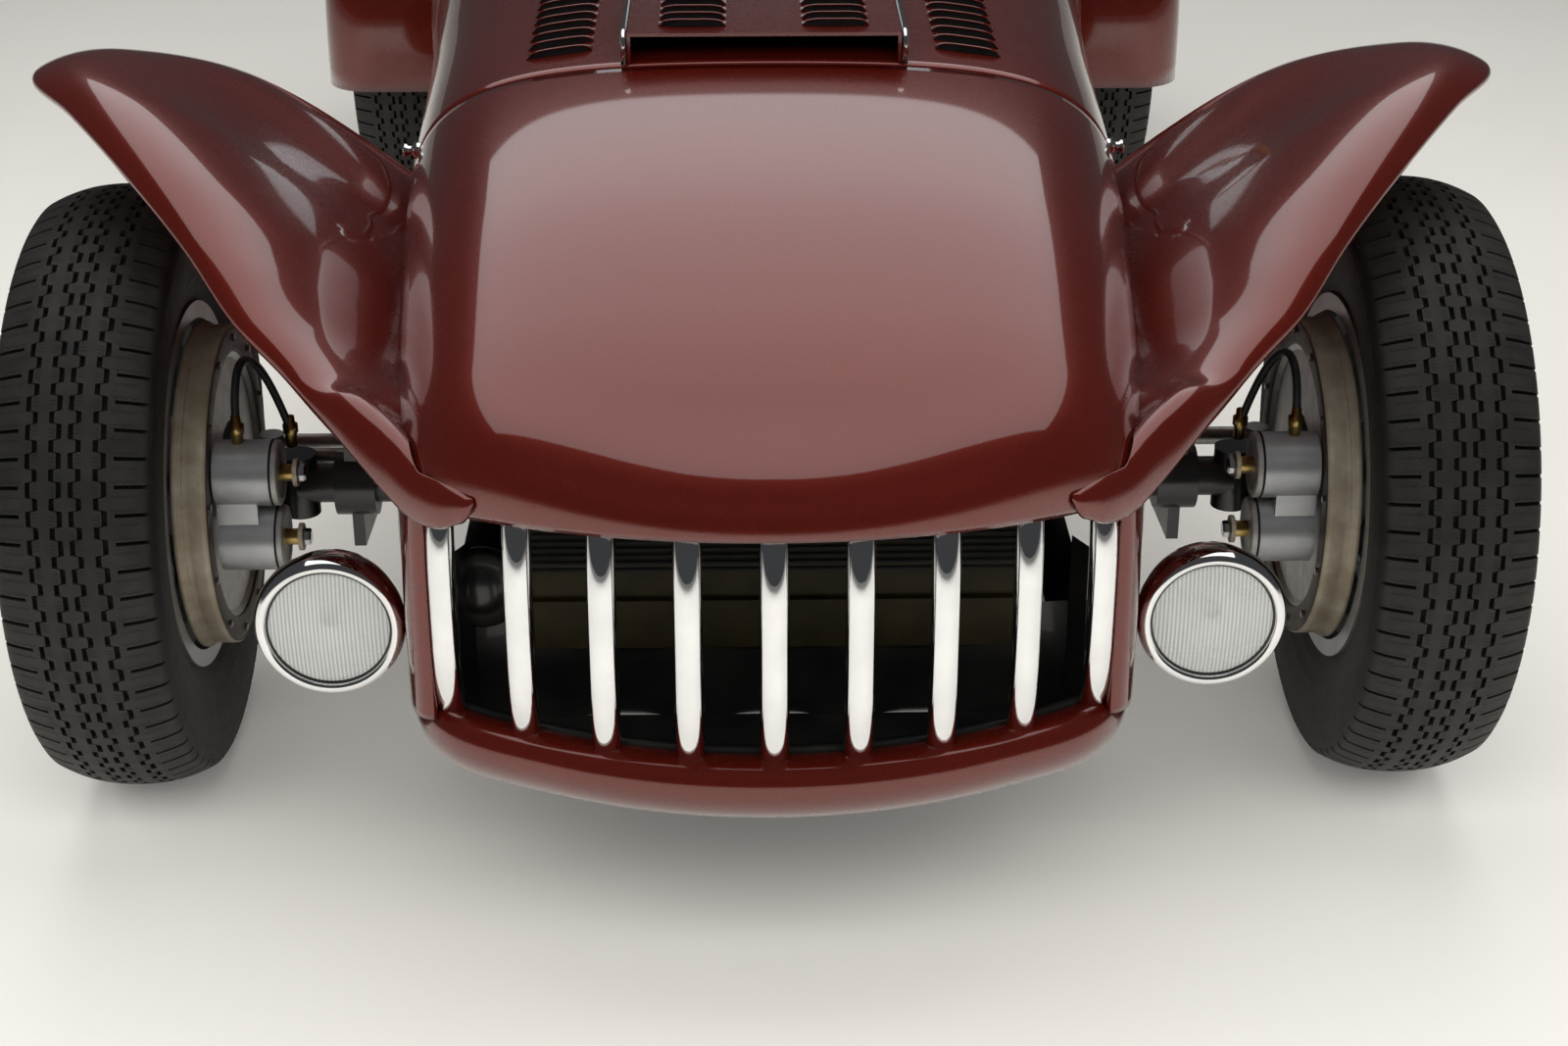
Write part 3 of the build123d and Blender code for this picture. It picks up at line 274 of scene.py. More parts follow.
IRON = mottled("cast_iron", (0.05, 0.048, 0.045), (0.10, 0.095, 0.09), 40, 0.5, 0.7, 0.5, 0.5, 500)
BRASS = mottled("brass", (0.42, 0.30, 0.10), (0.62, 0.46, 0.17), 60, 0.22, 0.42, 1.0, 0.1, 500)
# Brass of the same hue as above, darkened about seventeen times: painted shade for the brass tank in the dark
# behind the grille
SHADED_BRASS = mottled("shaded_tank_brass", (0.020, 0.015, 0.005), (0.036, 0.027, 0.009),
                      30, 0.45, 0.6, 0.4, 0.2, 300)
RUBBER = mottled("tyre_rubber", (0.011, 0.0100, 0.0088), (0.020, 0.0180, 0.0155), 30, 0.55, 0.75,
                 grain=0.25, grain_scale=900)
# Near-black: painted shade on the tyres' groove floors, in their sipe slits and at the louvres' openings;
# also the own dark colour of the brake cylinders' gaskets
SHADE_AND_GASKET_BLACK = mottled("shade_and_gasket_black", (0.004, 0.004, 0.004), (0.007, 0.007, 0.007), 60, 0.7, 0.9)
BROWN_CAST = mottled("brown_flange", (0.035, 0.026, 0.020), (0.095, 0.068, 0.045),
                     45, 0.4, 0.6, 0.4, 0.4, 700)
BEIGE_CAST = mottled("beige_casting", (0.26, 0.21, 0.14), (0.42, 0.37, 0.29), 26, 0.4, 0.6, 0.4, 0.4, 700)
REFLECTOR = mottled("lamp_mirror", (0.90, 0.90, 0.87), (0.96, 0.96, 0.93), 30, 0.30, 0.42, 0.10, 0.0)
HOSE = mottled("hose_rubber", (0.008, 0.008, 0.008), (0.015, 0.015, 0.015), 60, 0.35, 0.5)
LEATHER = mottled("seat_leather", (0.050, 0.012, 0.008), (0.085, 0.022, 0.014), 9, 0.38, 0.55,
                  grain=0.5, grain_scale=330, depth=0.0006)
WOOD = mottled("rim_wood", (0.13, 0.045, 0.015), (0.30, 0.12, 0.045), 25, 0.2, 0.3, Coat_Weight=0.8)
DARK_CORE = mottled("radiator_core", (0.004, 0.004, 0.004), (0.012, 0.012, 0.012), 50, 0.5, 0.7)


def glass_material(name, colour, roughness=0.02, clear=1.0):
    """Clear or clouded glass with faint smears."""
    material, tree, shader = new_material(name)
    link(tree, shader, Roughness=map_range(tree, noise(tree, 30.0), roughness, roughness + 0.05))
    set_inputs(shader, Base_Color=(*colour, 1), IOR=1.48, Transmission_Weight=clear)
    return material


GLASS = glass_material("clear_glass", (0.96, 0.98, 0.98))
LENS = glass_material("lamp_glass", (0.97, 0.98, 0.96), 0.06, 0.45)


def flute_glass(material, scale):
    """Paints lighter and darker bands across a glass along its moulded flutes: painted highlight and shade.
    """
    tree = material.node_tree
    place = new_node(tree, "TexCoord").outputs["Generated"]
    wave = new_node(tree, "TexWave", {"Scale": scale}, {"Vector": place})
    wave.bands_direction = "X"
    # Painted highlight and shade: pale and grey bands in the glass's colour
    flute_light_and_shade = ramp(tree, wave.outputs["Fac"], ((0.2, (0.62, 0.63, 0.61)), (0.6, (0.95, 0.96, 0.94))))
    link(tree, tree.nodes["Principled BSDF"], Base_Color=flute_light_and_shade)


flute_glass(LENS, 9.7)
BULB = glass_material("lamp_bulb_glass", (0.35, 0.37, 0.38), 0.25)
RED_GLASS = glass_material("red_glass", (0.55, 0.01, 0.01), 0.08)


# ------------------------------------------------------------------ body surface
# The bay round the front axle, with the y values where its edge turns
BAY_Y, BAY_REACH, BAY_CORNER, BAY_TOP = FRONT_Y + 0.010, 0.150, 0.060, 0.4575
BAY_EDGES = [BAY_Y + side * reach for side in (-1, 1) for reach in (0.112, 0.134, 0.1485, 0.1515)]
# Top of the leaning seam, and height of the nose's widest line
SEAM_TOP, WIDEST_Z = 0.850, 0.500
# The lip over the grille: where it starts, its fall to the corners, and its roll into the skin
LIP_Z, LIP_FALL, LIP_HANDLE, SKIN_HANDLE, ROLL_ROWS = 0.52, 0.016, 0.62, 0.86, 20
# The chin: its middle height, where it thins and ends, and where its corner starts and ends
CHIN_MIDDLE, CHIN_THIN_Y, CHIN_END = 0.29, -1.50, FRONT_Y - 0.190
CHIN_TURN_X, CHIN_TURN_Y = 0.235, NOSE_Y + 0.215
# The cut-down side of the cockpit: slopes at its ends, heights there, and the easing of its corners
FRONT_SLOPE, REAR_SLOPE, SCUTTLE_EDGE, DECK_EDGE = 0.120, 0.130, 0.800, 0.760
EDGE_EASE, EDGE_LIFT = 0.05, 0.022
TAIL_ROUND, TAIL_MIDDLE = 0.030, 0.335


def station(y):
    """Half width, top and shoulder height of the body at y."""
    return [smooth_value(STATIONS, y, column) for column in (1, 2, 3)]


def dense_outline(y):
    """Closely spaced x and z values up one side of the body at y, from the floor to the crown."""
    half, top, shoulder = station(y)
    high = shoulder + FULLNESS * (top - shoulder)
    a = np.linspace(0, pi / 2, 13)[:-1]
    sill_x = half - SILL_RADIUS + SILL_RADIUS * np.sin(a)
    sill_z = BODY_FLOOR + SILL_RADIUS - SILL_RADIUS * np.cos(a)
    side_z = np.linspace(BODY_FLOOR + SILL_RADIUS, shoulder, 30)[:-1]
    t = np.linspace(0, 1, 240)
    s = 1 - t
    crown_x = half * (s**3 + 3 * s * s * t + 3 * FULLNESS * s * t * t)
    crown_z = shoulder * s**3 + 3 * high * s * s * t + 3 * top * s * t * t + top * t**3
    return (np.concatenate((sill_x, np.full(29, half), crown_x)),
            np.concatenate((sill_z, side_z, crown_z)))


def half_outline(y, low, count, limit=9.0):
    """Evenly spaced points up one side of the body at y, between two heights."""
    xs, zs = dense_outline(y)
    run = running(np.hypot(np.diff(xs), np.diff(zs)))
    first = np.interp(max(low, zs[0]), zs, run)
    last = run[-1] if limit >= zs[-1] - 1e-6 else np.interp(limit, zs, run)
    places = np.linspace(first, last, count)
    return [Vector((x, y, z)) for x, z in zip(np.interp(places, run, xs), np.interp(places, run, zs))]


def body_half_width(y, z):
    """Half width of the body at y and height z, or 0 above it."""
    xs, zs = dense_outline(y)
    return 0.0 if z >= zs[-1] else float(np.interp(z, zs, xs))


def both_halves(half):
    """A row up one side carried over the crown and down the other."""
    return [Vector((-p.x, p.y, p.z)) for p in half] + half[-2::-1]


def nose_front(x):
    """Where the nose ends at x, on its arc in plan."""
    return NOSE_Y + NOSE_PLAN_RADIUS - sqrt(NOSE_PLAN_RADIUS**2 - min(abs(x), 0.5)**2)


def bay_edge(y):
    """Top of the front axle bay in the body side at y, or 0 away from it."""
    away = abs(y - BAY_Y)
    if away >= BAY_REACH:
        return 0.0
    over = max(away - (BAY_REACH - BAY_CORNER), 0.0)
    return BAY_TOP - BAY_CORNER + sqrt(BAY_CORNER**2 - over**2)


def spaced(low, high, step, extra=()):
    """Places from low to high about a step apart, with some extra ones put in."""
    count = max(int(abs(high - low) / step) + 1, 2)
    return sorted(list(np.linspace(low, high, count)) + [y for y in extra if low < y < high])


def above_hood_seam(z):
    """Whether a height is at or over the seam along the hood's side."""
    return z > HOOD_SEAM - 0.004


def seam_y(z, gap):
    """The leaning seam between nose and hood at height z."""
    lean = HOOD_LEAN * clamped((SEAM_TOP - z) / (SEAM_TOP - HOOD_SEAM))
    return HOOD_FRONT - gap + (lean if above_hood_seam(z) else 0.0)


def skin_rows(shares, front, back, outline):
    """Rows of body points between a front and a back line, each a list of y values."""
    rows = []
    for share in shares:
        cache, row = {}, []
        for index, (start, end) in enumerate(zip(front, back)):
            y = start + (end - start) * share
            if y not in cache:
                cache[y] = outline(y)
            row.append(cache[y][index])
        rows.append(row)
    return rows


def opening_edge(share, foot):
    """Point on the edge of the grille opening, from its foot (0) to its top centre (1)."""
    side = GRILLE_TOP - GRILLE_CORNER - foot
    arc = GRILLE_CORNER * pi / 2
    top = GRILLE_HALF - GRILLE_CORNER
    run = share * (side + arc + top)
    if run < side:
        return GRILLE_HALF, foot + run
    if run < side + arc:
        a = (run - side) / GRILLE_CORNER
        return GRILLE_HALF - GRILLE_CORNER * (1 - cos(a)), GRILLE_TOP - GRILLE_CORNER * (1 - sin(a))
    return top - (run - side - arc), GRILLE_TOP


def rolled_front(ends, tangents, edges):
    """Rows that roll smoothly from an edge round to the skin behind it."""
    rows = []
    for t in np.linspace(0, 1, ROLL_ROWS):
        row = []
        for end, tangent, edge in zip(ends, tangents, edges):
            inward = Vector((edge.x - end.x, 0, edge.z - end.z)).normalized()
            reach = (end - edge).length / 2
            handles = (edge - inward * reach * LIP_HANDLE, end + tangent * reach * SKIN_HANDLE)
            row.append(bezier((edge, *handles, end), t))
        rows.append(row)
    return rows


def split_outline(y, low):
    """Points up one side of the nose at y, with a fixed share of them under its widest line."""
    share = clamped((y - NOSE_Y) / (HOOD_FRONT - NOSE_Y))
    middle = WIDEST_Z + (HOOD_SEAM - WIDEST_Z) * share**1.2
    return half_outline(y, low, 36, middle) + half_outline(y, middle, 64)[1:]


def lip_drop(x):
    """How much lower the nose's lip is towards its corners."""
    return LIP_FALL * (min(abs(x), GRILLE_HALF) / GRILLE_HALF)**2


def nose_skin_start(low):
    """Where the rolled front gives way to the skin, as y for each point of the nose's outline."""
    start = [NOSE_Y + 0.1] * len(split_outline(HOOD_FRONT, low))
    for _ in range(12):
        start = [nose_front(split_outline(y, low)[i].x) + 0.060 + 0.055 * i / len(start)
                 for i, y in enumerate(start)]
    return start


def nose_edges(ends, low):
    """Points on the edge of the grille opening, one before each end of the nose's skin."""
    run = running([(q - p).length for p, q in zip(ends[:-1], ends[1:])])
    corner = min(range(len(ends)), key=lambda k: abs(ends[k].z - 0.575))
    corner_skin = float(run[corner] / run[-1])
    corner_open = (GRILLE_TOP - low) / (GRILLE_TOP - low + GRILLE_HALF)
    edges = []
    for share in run / run[-1]:
        if share < corner_skin:
            moved = share / corner_skin * corner_open
        else:
            moved = 1 - (1 - share) / (1 - corner_skin) * (1 - corner_open)
        x, z = opening_edge(moved, low)
        high = clamped((z - low) / (GRILLE_TOP - low))
        edges.append(Vector((x, nose_front(x) + 0.005, z - lip_drop(x) * high**3)))
    return edges


def nose_panel():
    """Nose, from inside the grille opening back to its seam with the hood."""
    low = CHIN_TOP + PANEL_GAP
    start = nose_skin_start(low)
    ends = [split_outline(y, low)[i] for i, y in enumerate(start)]
    behind = [split_outline(y + 0.01, low)[i] for i, y in enumerate(start)]
    tangents = [(p - q).normalized() for p, q in zip(ends, behind)]
    edges = nose_edges(ends, low)
    inside = [Vector((e.x - (0 if e.z > LIP_Z else 0.004), e.y + 0.024, e.z + (0.003 if e.z > LIP_Z else 0)))
              for e in edges]
    back = [seam_y(p.z, HOOD_GAP if above_hood_seam(p.z) else PANEL_GAP)
            for p in split_outline(HOOD_FRONT, low)]
    shares = spaced(0, 1, 0.02, [(y - start[0]) / (back[0] - start[0]) for y in BAY_EDGES])
    rows = [inside] + rolled_front(ends, tangents, edges)
    rows += skin_rows(shares[1:], start, back, lambda y: split_outline(y, max(low, bay_edge(y))))
    return [both_halves(row) for row in rows]


def chin_path():
    """Plan line of the chin from its centre round the corner and back along the side, with normals."""
    places = [Vector((x, nose_front(x))) for x in np.linspace(0, CHIN_TURN_X, 24)]
    start, half = places[-1], body_half_width(CHIN_TURN_Y, CHIN_MIDDLE)
    ahead = Vector((1, start.x / sqrt(NOSE_PLAN_RADIUS**2 - start.x**2))).normalized()
    corner = (start, start + ahead * 0.085, Vector((half - 0.010, CHIN_TURN_Y - 0.105)),
              Vector((half, CHIN_TURN_Y)))
    places += [bezier(corner, t) for t in np.linspace(0, 1, 26)[1:]]
    places += [Vector((body_half_width(y, CHIN_MIDDLE), y))
               for y in np.linspace(CHIN_TURN_Y, CHIN_END, 12)[1:]]
    points = [(places[0], Vector((0, -1)))]
    for index in range(1, len(places)):
        run = heading(places, index)
        points.append((places[index], Vector((run.y, -run.x)).normalized()))
    return points


def chin_rows():
    """Rows across the rounded chin, each from inside the top edge over the front to the underside."""
    rows = []
    for place, out in chin_path():
        front = clamped((CHIN_THIN_Y - place.y) / 0.25)
        top = CHIN_TOP - PANEL_GAP + 0.010 * front
        low = BODY_FLOOR + 0.004 * front
        inset = 0.026 * front
        section = (Vector((-inset, top)), Vector((0.010 * front, top - 0.004)),
                   Vector((0.003, low + 0.014)), Vector((-0.036 - 0.016 * front, low)))
        row = [Vector((-inset - 0.030, top - 0.006)), Vector((-inset - 0.012, top - 0.001))]
        row += [bezier(section, t) for t in np.linspace(0, 1, 22)]
        row.append(Vector((-0.100, low - 0.001)))
        rows.append([Vector((place.x + out.x * d, place.y + out.y * d, z)) for d, z in row])
    return rows


def make_chin():
    """Rounded valance under the grille, in one piece from side to side."""
    rows = chin_rows()
    skin_piece("chin_skin", [(mirrored(rows)[:0:-1] + rows, False)], "chin_panel")


def hood_panel():
    """Hood, from the leaning seam to the scuttle."""
    count = 90
    front = [seam_y(max(p.z, HOOD_SEAM), 0.0) for p in half_outline(HOOD_FRONT, HOOD_SEAM, count)]
    back = [HOOD_REAR - HOOD_GAP] * count
    rows = skin_rows(spaced(0, 1, 0.02), front, back, lambda y: half_outline(y, HOOD_SEAM, count))
    return [both_halves(row) for row in rows]


def side_panel(front, back, high, count=24, step=0.03):
    """Rows of one body side from the floor up; high may be a function of y."""
    rows = []
    for y in spaced(front, back, step, BAY_EDGES):
        limit = high(y) if callable(high) else high
        rows.append(half_outline(y, max(BODY_FLOOR, bay_edge(y)), count, limit))
    return rows


def cockpit_edge(y):
    """Top of the cut-down cockpit side at y."""
    front_foot, rear_foot = COCKPIT_FRONT + FRONT_SLOPE, COCKPIT_REAR - REAR_SLOPE
    front_rise = (SCUTTLE_EDGE - COCKPIT_SIDE) * clamped((front_foot - y) / FRONT_SLOPE)
    rear_rise = (DECK_EDGE - COCKPIT_SIDE) * clamped((y - rear_foot) / REAR_SLOPE)
    near = sum(max(0.0, 1 - abs(y - foot) / EDGE_EASE)**2 for foot in (front_foot, rear_foot))
    return COCKPIT_SIDE + front_rise + rear_rise + EDGE_LIFT * near


def full_panel(front, back):
    """Rows right over the body between two stations."""
    return [both_halves(half_outline(y, BODY_FLOOR, 70)) for y in spaced(front, back, 0.03)]


def tail_panel():
    """Tail, closed by a rounded end with its own piece of floor."""
    last = TAIL_Y - TAIL_ROUND
    rows = [half_outline(y, BODY_FLOOR, 70) for y in spaced(TAIL_SEAM, last, 0.025)]
    rows = [[row[0].copy()] + row for row in rows]
    end = [Vector((0, last, BODY_FLOOR))] + rows[-1][1:]
    steps = [(last + TAIL_ROUND * sin(a), 1 - 0.34 * (1 - cos(a))) for a in np.linspace(0, pi / 2, 9)]
    steps += [(TAIL_Y, shrink) for shrink in (0.5, 0.3, 0.1, 0.001)]
    for y, shrink in steps:
        rows.append([Vector((p.x * shrink, y, TAIL_MIDDLE + (p.z - TAIL_MIDDLE) * shrink)) for p in end])
    return [both_halves(row) for row in rows]


def mirrored(rows):
    """Rows on the other side of the car."""
    return [[Vector((-p.x, p.y, p.z)) for p in row] for row in rows]


def joined(name, parts):
    """One mesh from several grids given as (rows, flip)."""
    verts, faces = [], []
    for rows, flip in parts:
        faces += grid_faces(len(rows), len(rows[0]), len(verts), False, flip)
        verts += flat(rows)
    return mesh_object(name, verts, faces)


def skin_piece(name, parts, node, body="chassis"):
    """A painted panel of even thickness, made of grids, that stands for a CAD node."""
    obj = joined(name, parts)
    add_modifier(obj, "SOLIDIFY", thickness=SKIN, offset=-1.0, use_rim=True)
    finish_piece(obj, body, MAROON, [node])


def make_body():
    """All the painted panels between the fenders."""
    skin_piece("nose_skin", [(nose_panel(), False)], "nose_cowl")
    make_chin()
    skin_piece("hood_skin", [(hood_panel(), False)], "hood", "hood_lid")
    sides = side_panel(HOOD_FRONT, HOOD_REAR, HOOD_SEAM - HOOD_GAP)
    skin_piece("engine_side_skin", [(sides, True), (mirrored(sides), False)], "engine_side_panels")
    low = side_panel(COCKPIT_FRONT, COCKPIT_REAR, cockpit_edge, 40, 0.015)
    skin_piece("cockpit_skin", [
        (full_panel(HOOD_REAR, COCKPIT_FRONT), False), (low, True), (mirrored(low), False),
        (full_panel(COCKPIT_REAR, TAIL_SEAM - PANEL_GAP), False)], "cockpit_body")
    skin_piece("tail_skin", [(tail_panel(), False)], "tail_body")


# ------------------------------------------------------------------ fenders
def fender_table():
    """Control points of every fender curve, in metres."""
    rows = [[(x / 1000, FRONT_Y + y / 1000, z / 1000) for x, y, z in row] for row in FENDER_TIP]
    for angle, *points in FENDER_SWEEP:
        a = radians(angle)
        rows.append([(x / 1000, FRONT_Y - r / 1000 * cos(a), AXLE_Z + r / 1000 * sin(a)) for x, r in points])
    return np.array(rows)


def smooth_rows(table, steps):
    """Rows with eased ones added between them, spaced by the run of their first points."""
    places = running(np.linalg.norm(np.diff(table[:, 0], axis=0), axis=1))
    rows = []
    for index in range(len(table) - 1):
        picks = four_round(index, len(table))
        rows += [eased(table[picks], places[picks], step / steps) for step in range(steps)]
    return rows + [table[-1]]


def clear_of_body(p):
    """How far a point is outside the body, or less than nothing inside it."""
    x, y, z = p
    return max(nose_front(x) - y, x - body_half_width(max(y, NOSE_Y), z))


def curve_points(row, ts):
    """Points along a row's cubic curve, from root (0) to lip (1)."""
    return bezier(row[::-1], np.array(ts)[:, None])


def leaves_body(row):
    """Where along its curve a row comes out of the body."""
    ts = np.linspace(0, 1, 50)
    gaps = [clear_of_body(p) for p in curve_points(row, ts)]
    for i in range(1, len(ts)):
        if gaps[i] > 0:
            share = gaps[i - 1] / (gaps[i - 1] - gaps[i]) if gaps[i - 1] < 0 else 0.0
            return ts[i - 1] + share * (ts[i] - ts[i - 1])
    return 0.9


def fender_loops():
    """Closed loops round the fender's skin, from its tip to its rear edge."""
    rows = smooth_rows(fender_table(), 8)
    starts = [leaves_body(row) for row in rows]
    starts = np.convolve(np.pad(starts, 2, "edge"), np.ones(5) / 5, "valid") - ROOT_OVERLAP
    outer = np.array([curve_points(row, np.linspace(max(t, 0), 1, 44)) for row, t in zip(rows, starts)])
    across, along = np.gradient(outer, axis=1), np.gradient(outer, axis=0)
    normal = np.cross(across, along)
    normal /= np.linalg.norm(normal, axis=2)[:, :, None]
    inner = outer - normal * FENDER_SKIN
    loops = []
    for i in range(len(rows)):
        ahead = across[i, -1] / np.linalg.norm(across[i, -1])
        out = normal[i, -1]
        centre = outer[i, -1] - out * BEAD_RADIUS
        bead = [centre + BEAD_RADIUS * (out * cos(a) + ahead * sin(a))
                for a in np.linspace(0, pi * 1.25, 12)[1:]]
        loops.append([Vector(p) for p in [*outer[i], *bead, *inner[i][::-1][2:]]])
    return loops


def make_front_fenders():
    """Sweeping fenders with a rolled lip, ending in a blunt tongue over the nose's corner."""
    loops = fender_loops()
    tip = loops[0]
    middle = sum(tip, Vector()) / len(tip)
    ahead = (middle - sum(loops[3], Vector()) / len(tip)).normalized()
    caps = [[middle + (p - middle) * sqrt(1 - share**2) + ahead * 0.010 * share for p in tip]
            for share in (0.995, 0.93, 0.8, 0.6, 0.35)]
    loops = caps + loops
    for side, name in SIDES:
        verts = flat(loops if side > 0 else mirrored(loops))
        count = len(tip)
        faces = grid_faces(len(loops), count, 0, True, side < 0)
        faces.append(list(range(count))[::-side])
        faces.append([len(verts) - count + k for k in range(count)][::side])
        obj = mesh_object(f"front_fender_skin_{name}", verts, faces)
        finish_piece(obj, "chassis", MAROON, [f"front_fender_{name}"])


REAR_FENDER_OUT, REAR_FENDER_BOTTOM, REAR_FENDER_TOP = 0.787, 0.328, 0.792
REAR_FENDER_FRONT, REAR_FENDER_TAIL, REAR_FENDER_ROUND, ARCH_RADIUS = 0.448, 0.590, 0.082, 0.384
REAR_AXLE = Vector((REAR_Y, AXLE_Z))


def rear_fender_outline():
    """Side outline of the rear fender, from its front foot over the wheel to its tail."""
    front, tail = REAR_Y - REAR_FENDER_FRONT, REAR_Y + REAR_FENDER_TAIL
    top, bottom = REAR_FENDER_TOP, REAR_FENDER_BOTTOM
    crest = Vector((REAR_Y - 0.020, top))
    rise = (Vector((front, bottom + 0.060)), Vector((front, top - 0.110)),
            Vector((REAR_Y - 0.270, top)), crest)
    fall = (crest, Vector((REAR_Y + 0.300, top)), Vector((tail - 0.050, bottom + 0.210)),
            Vector((tail, bottom + 0.010)))
    points = [Vector((front, bottom)), Vector((front, bottom + 0.03))]
    points += [bezier(rise, t) for t in np.linspace(0, 1, 32)]
    points += [bezier(fall, t) for t in np.linspace(0, 1, 32)[1:]]
    return points + [Vector((tail, bottom))]


def arch_point(q):
    """Where the outer face, going down from q towards the axle, meets the wheel arch."""
    away = q - REAR_AXLE
    if away.length <= ARCH_RADIUS:
        return q
    end = REAR_AXLE + away.normalized() * ARCH_RADIUS
    if end.y < REAR_FENDER_BOTTOM:
        reach = sqrt(ARCH_RADIUS**2 - (AXLE_Z - REAR_FENDER_BOTTOM)**2)
        end = Vector((REAR_Y + (reach if away.x > 0 else -reach), REAR_FENDER_BOTTOM))
    return end


def rear_fender_row(p, inward):
    """One row over the fender: from the body out, round the shoulder and down the outer face."""
    x_in = max(body_half_width(min(p.x, TAIL_Y - 0.03), p.y) - 0.003, 0.3)
    edge = REAR_FENDER_OUT - REAR_FENDER_ROUND
    row = [Vector((x, p.x, p.y)) for x in np.linspace(x_in, edge, 10)]
    for a in np.linspace(0, pi / 2, 10)[1:]:
        q = p + inward * (REAR_FENDER_ROUND * (1 - cos(a)))
        row.append(Vector((edge + REAR_FENDER_ROUND * sin(a), q.x, q.y)))
    q = p + inward * REAR_FENDER_ROUND
    fall = arch_point(q) - q
    for t in np.linspace(0, 1, 8)[1:]:
        s = q + fall * t
        row.append(Vector((REAR_FENDER_OUT, s.x, max(s.y, REAR_FENDER_BOTTOM))))
    return row


def rear_fender_rows():
    """Rows over the rear fender, from its front foot to its tail."""
    outline = rear_fender_outline()
    rows = []
    for index, p in enumerate(outline):
        run = heading(outline, index)
        inward = Vector((run.y, -run.x)).normalized()
        if inward.dot(REAR_AXLE - p) < 0:
            inward = -inward
        rows.append(rear_fender_row(p, inward))
    return rows


def make_rear_fenders():
    """Teardrop rear fenders."""
    rows = rear_fender_rows()
    for side, name in SIDES:
        grid = (rows, False) if side > 0 else (mirrored(rows), True)
        skin_piece(f"rear_fender_skin_{name}", [grid], f"rear_fender_{name}")


# ------------------------------------------------------------------ turned pieces
def turned_object(name, profile, centre, axis="X", count=64):
    """Mesh of a profile of (along, radius) pairs turned about a line through centre."""
    order = {"X": (0, 1, 2), "Y": (1, 0, 2), "Z": (1, 2, 0)}[axis]
    rows = []
    for k in range(count + 1):
        a = 2 * pi * k / count
        points = [(u, r * cos(a), r * sin(a)) for u, r in profile]
        rows.append([centre + Vector([p[place] for place in order]) for p in points])
    obj = joined(name, [(rows, False)])
    change_mesh(obj.data, lambda work: bmesh.ops.recalc_face_normals(work, faces=work.faces))
    return obj


def sharpen(obj, angle=32):
    """Keeps corners crisp while the rest shades smoothly."""
    obj.data.set_sharp_from_angle(angle=radians(angle))
    return obj


# ------------------------------------------------------------------ grille
BAR_PITCH, BAR_RADIUS, BAR_COUNT = 0.0835, 0.0145, 9
BAR_FOOT_Y, BAR_FOOT_Z, BAR_LENGTH = 0.048, CHIN_TOP - 0.012, GRILLE_TOP + 0.022 - CHIN_TOP
BAR_BOW, BOW_POWER = 0.034, 3.2


def bar_ring(x, t):
    """Ring of points round the bar that stands at x, at a share t of its height."""
    lean = 0.0 if abs(x) < 0.3 else -0.003 * (1 if x > 0 else -1)
    away = abs(2 * t - 1)
    y = nose_front(x) + BAR_FOOT_Y - BAR_BOW * (1 - away**BOW_POWER)
    slope = 2 * BAR_BOW * BOW_POWER * away**(BOW_POWER - 1) * (1 if t < 0.5 else -1) / BAR_LENGTH
    ahead = Vector((0, -1, -slope)).normalized()
    ring = []
    for a in np.linspace(0, 2 * pi, 20, endpoint=False):
        reach = BAR_RADIUS * (0.80 if cos(a) > 0 else 0.5)
        middle = Vector((x + lean + BAR_RADIUS * sin(a), y, BAR_FOOT_Z + t * BAR_LENGTH))
        ring.append(middle + ahead * (reach * cos(a)))
    return ring


def make_grille():
    """Chrome bars bowed forward out of the opening, with their feet behind the chin, and their rails."""
    bars = []
    for index in range(BAR_COUNT):
        x = (index - (BAR_COUNT - 1) / 2) * BAR_PITCH
        rings = [bar_ring(x, t) for t in np.linspace(0, 1, 26)]
        bars.append(([ring + ring[:1] for ring in rings], False))
    finish_piece(joined("grille_bar_set", bars), "chassis", CHROME, ["grille_bars"])
    section = ((0, -0.006), (0, 0.006), (0.008, 0.006), (0.008, -0.006), (0, -0.006))
    rails = []
    for z in (CHIN_TOP + 0.004, GRILLE_TOP + 0.004):
        rails.append(([[Vector((x, nose_front(x) + 0.046 + d, z + h)) for x in np.linspace(-0.345, 0.345, 41)]
                       for d, h in section], False))
    finish_piece(joined("grille_rails", rails), "chassis", BLACK_PAINT)


def make_grille_backing():
    """Black sheets behind the bars, painted shade so that nothing pale shows between radiator and chin."""
    bottom, back, xs = CHIN_TOP - 0.040, FRONT_Y - 0.400, np.linspace(-0.330, 0.330, 25)
    tray = []
    for t in np.linspace(0, 1, 12):
        sag = bottom - 0.006 * sin(t * pi)
        tray.append([Vector((x, (nose_front(x) + 0.060) * (1 - t) + back * t, sag)) for x in xs])
    apron = [[Vector((x, back + 0.004 * cos(x * 40), z)) for x in xs] for z in np.linspace(bottom, 0.392, 8)]
    # Tray under the opening and wall behind it, black as painted shade
    finish_piece(joined("grille_shade_tray", [(tray, True), (apron, True)]), "chassis", BLACK_PAINT)
    # Black cheeks at the sides, also painted shade
    cheek = [[Vector((0.338 - 0.028 * t, (NOSE_Y + 0.150) * (1 - t) + back * t, z))
              for z in np.linspace(bottom, 0.470, 9)] for t in np.linspace(0, 1, 9)]
    cheeks = joined("grille_shade_cheeks", [(mirrored(cheek), False), (cheek, True)])
    finish_piece(cheeks, "chassis", BLACK_PAINT)


# ------------------------------------------------------------------ tyres
TYRE_RADIUS, TREAD_HALF, TREAD_DEPTH, PITCHES = 0.3543, 0.080, 0.0085, 72
CHAIN_X, WIDE, NECK, GROOVE = 0.023, 0.0140, 0.0060, 0.0056
PITCH_ANGLE = 2 * pi / PITCHES
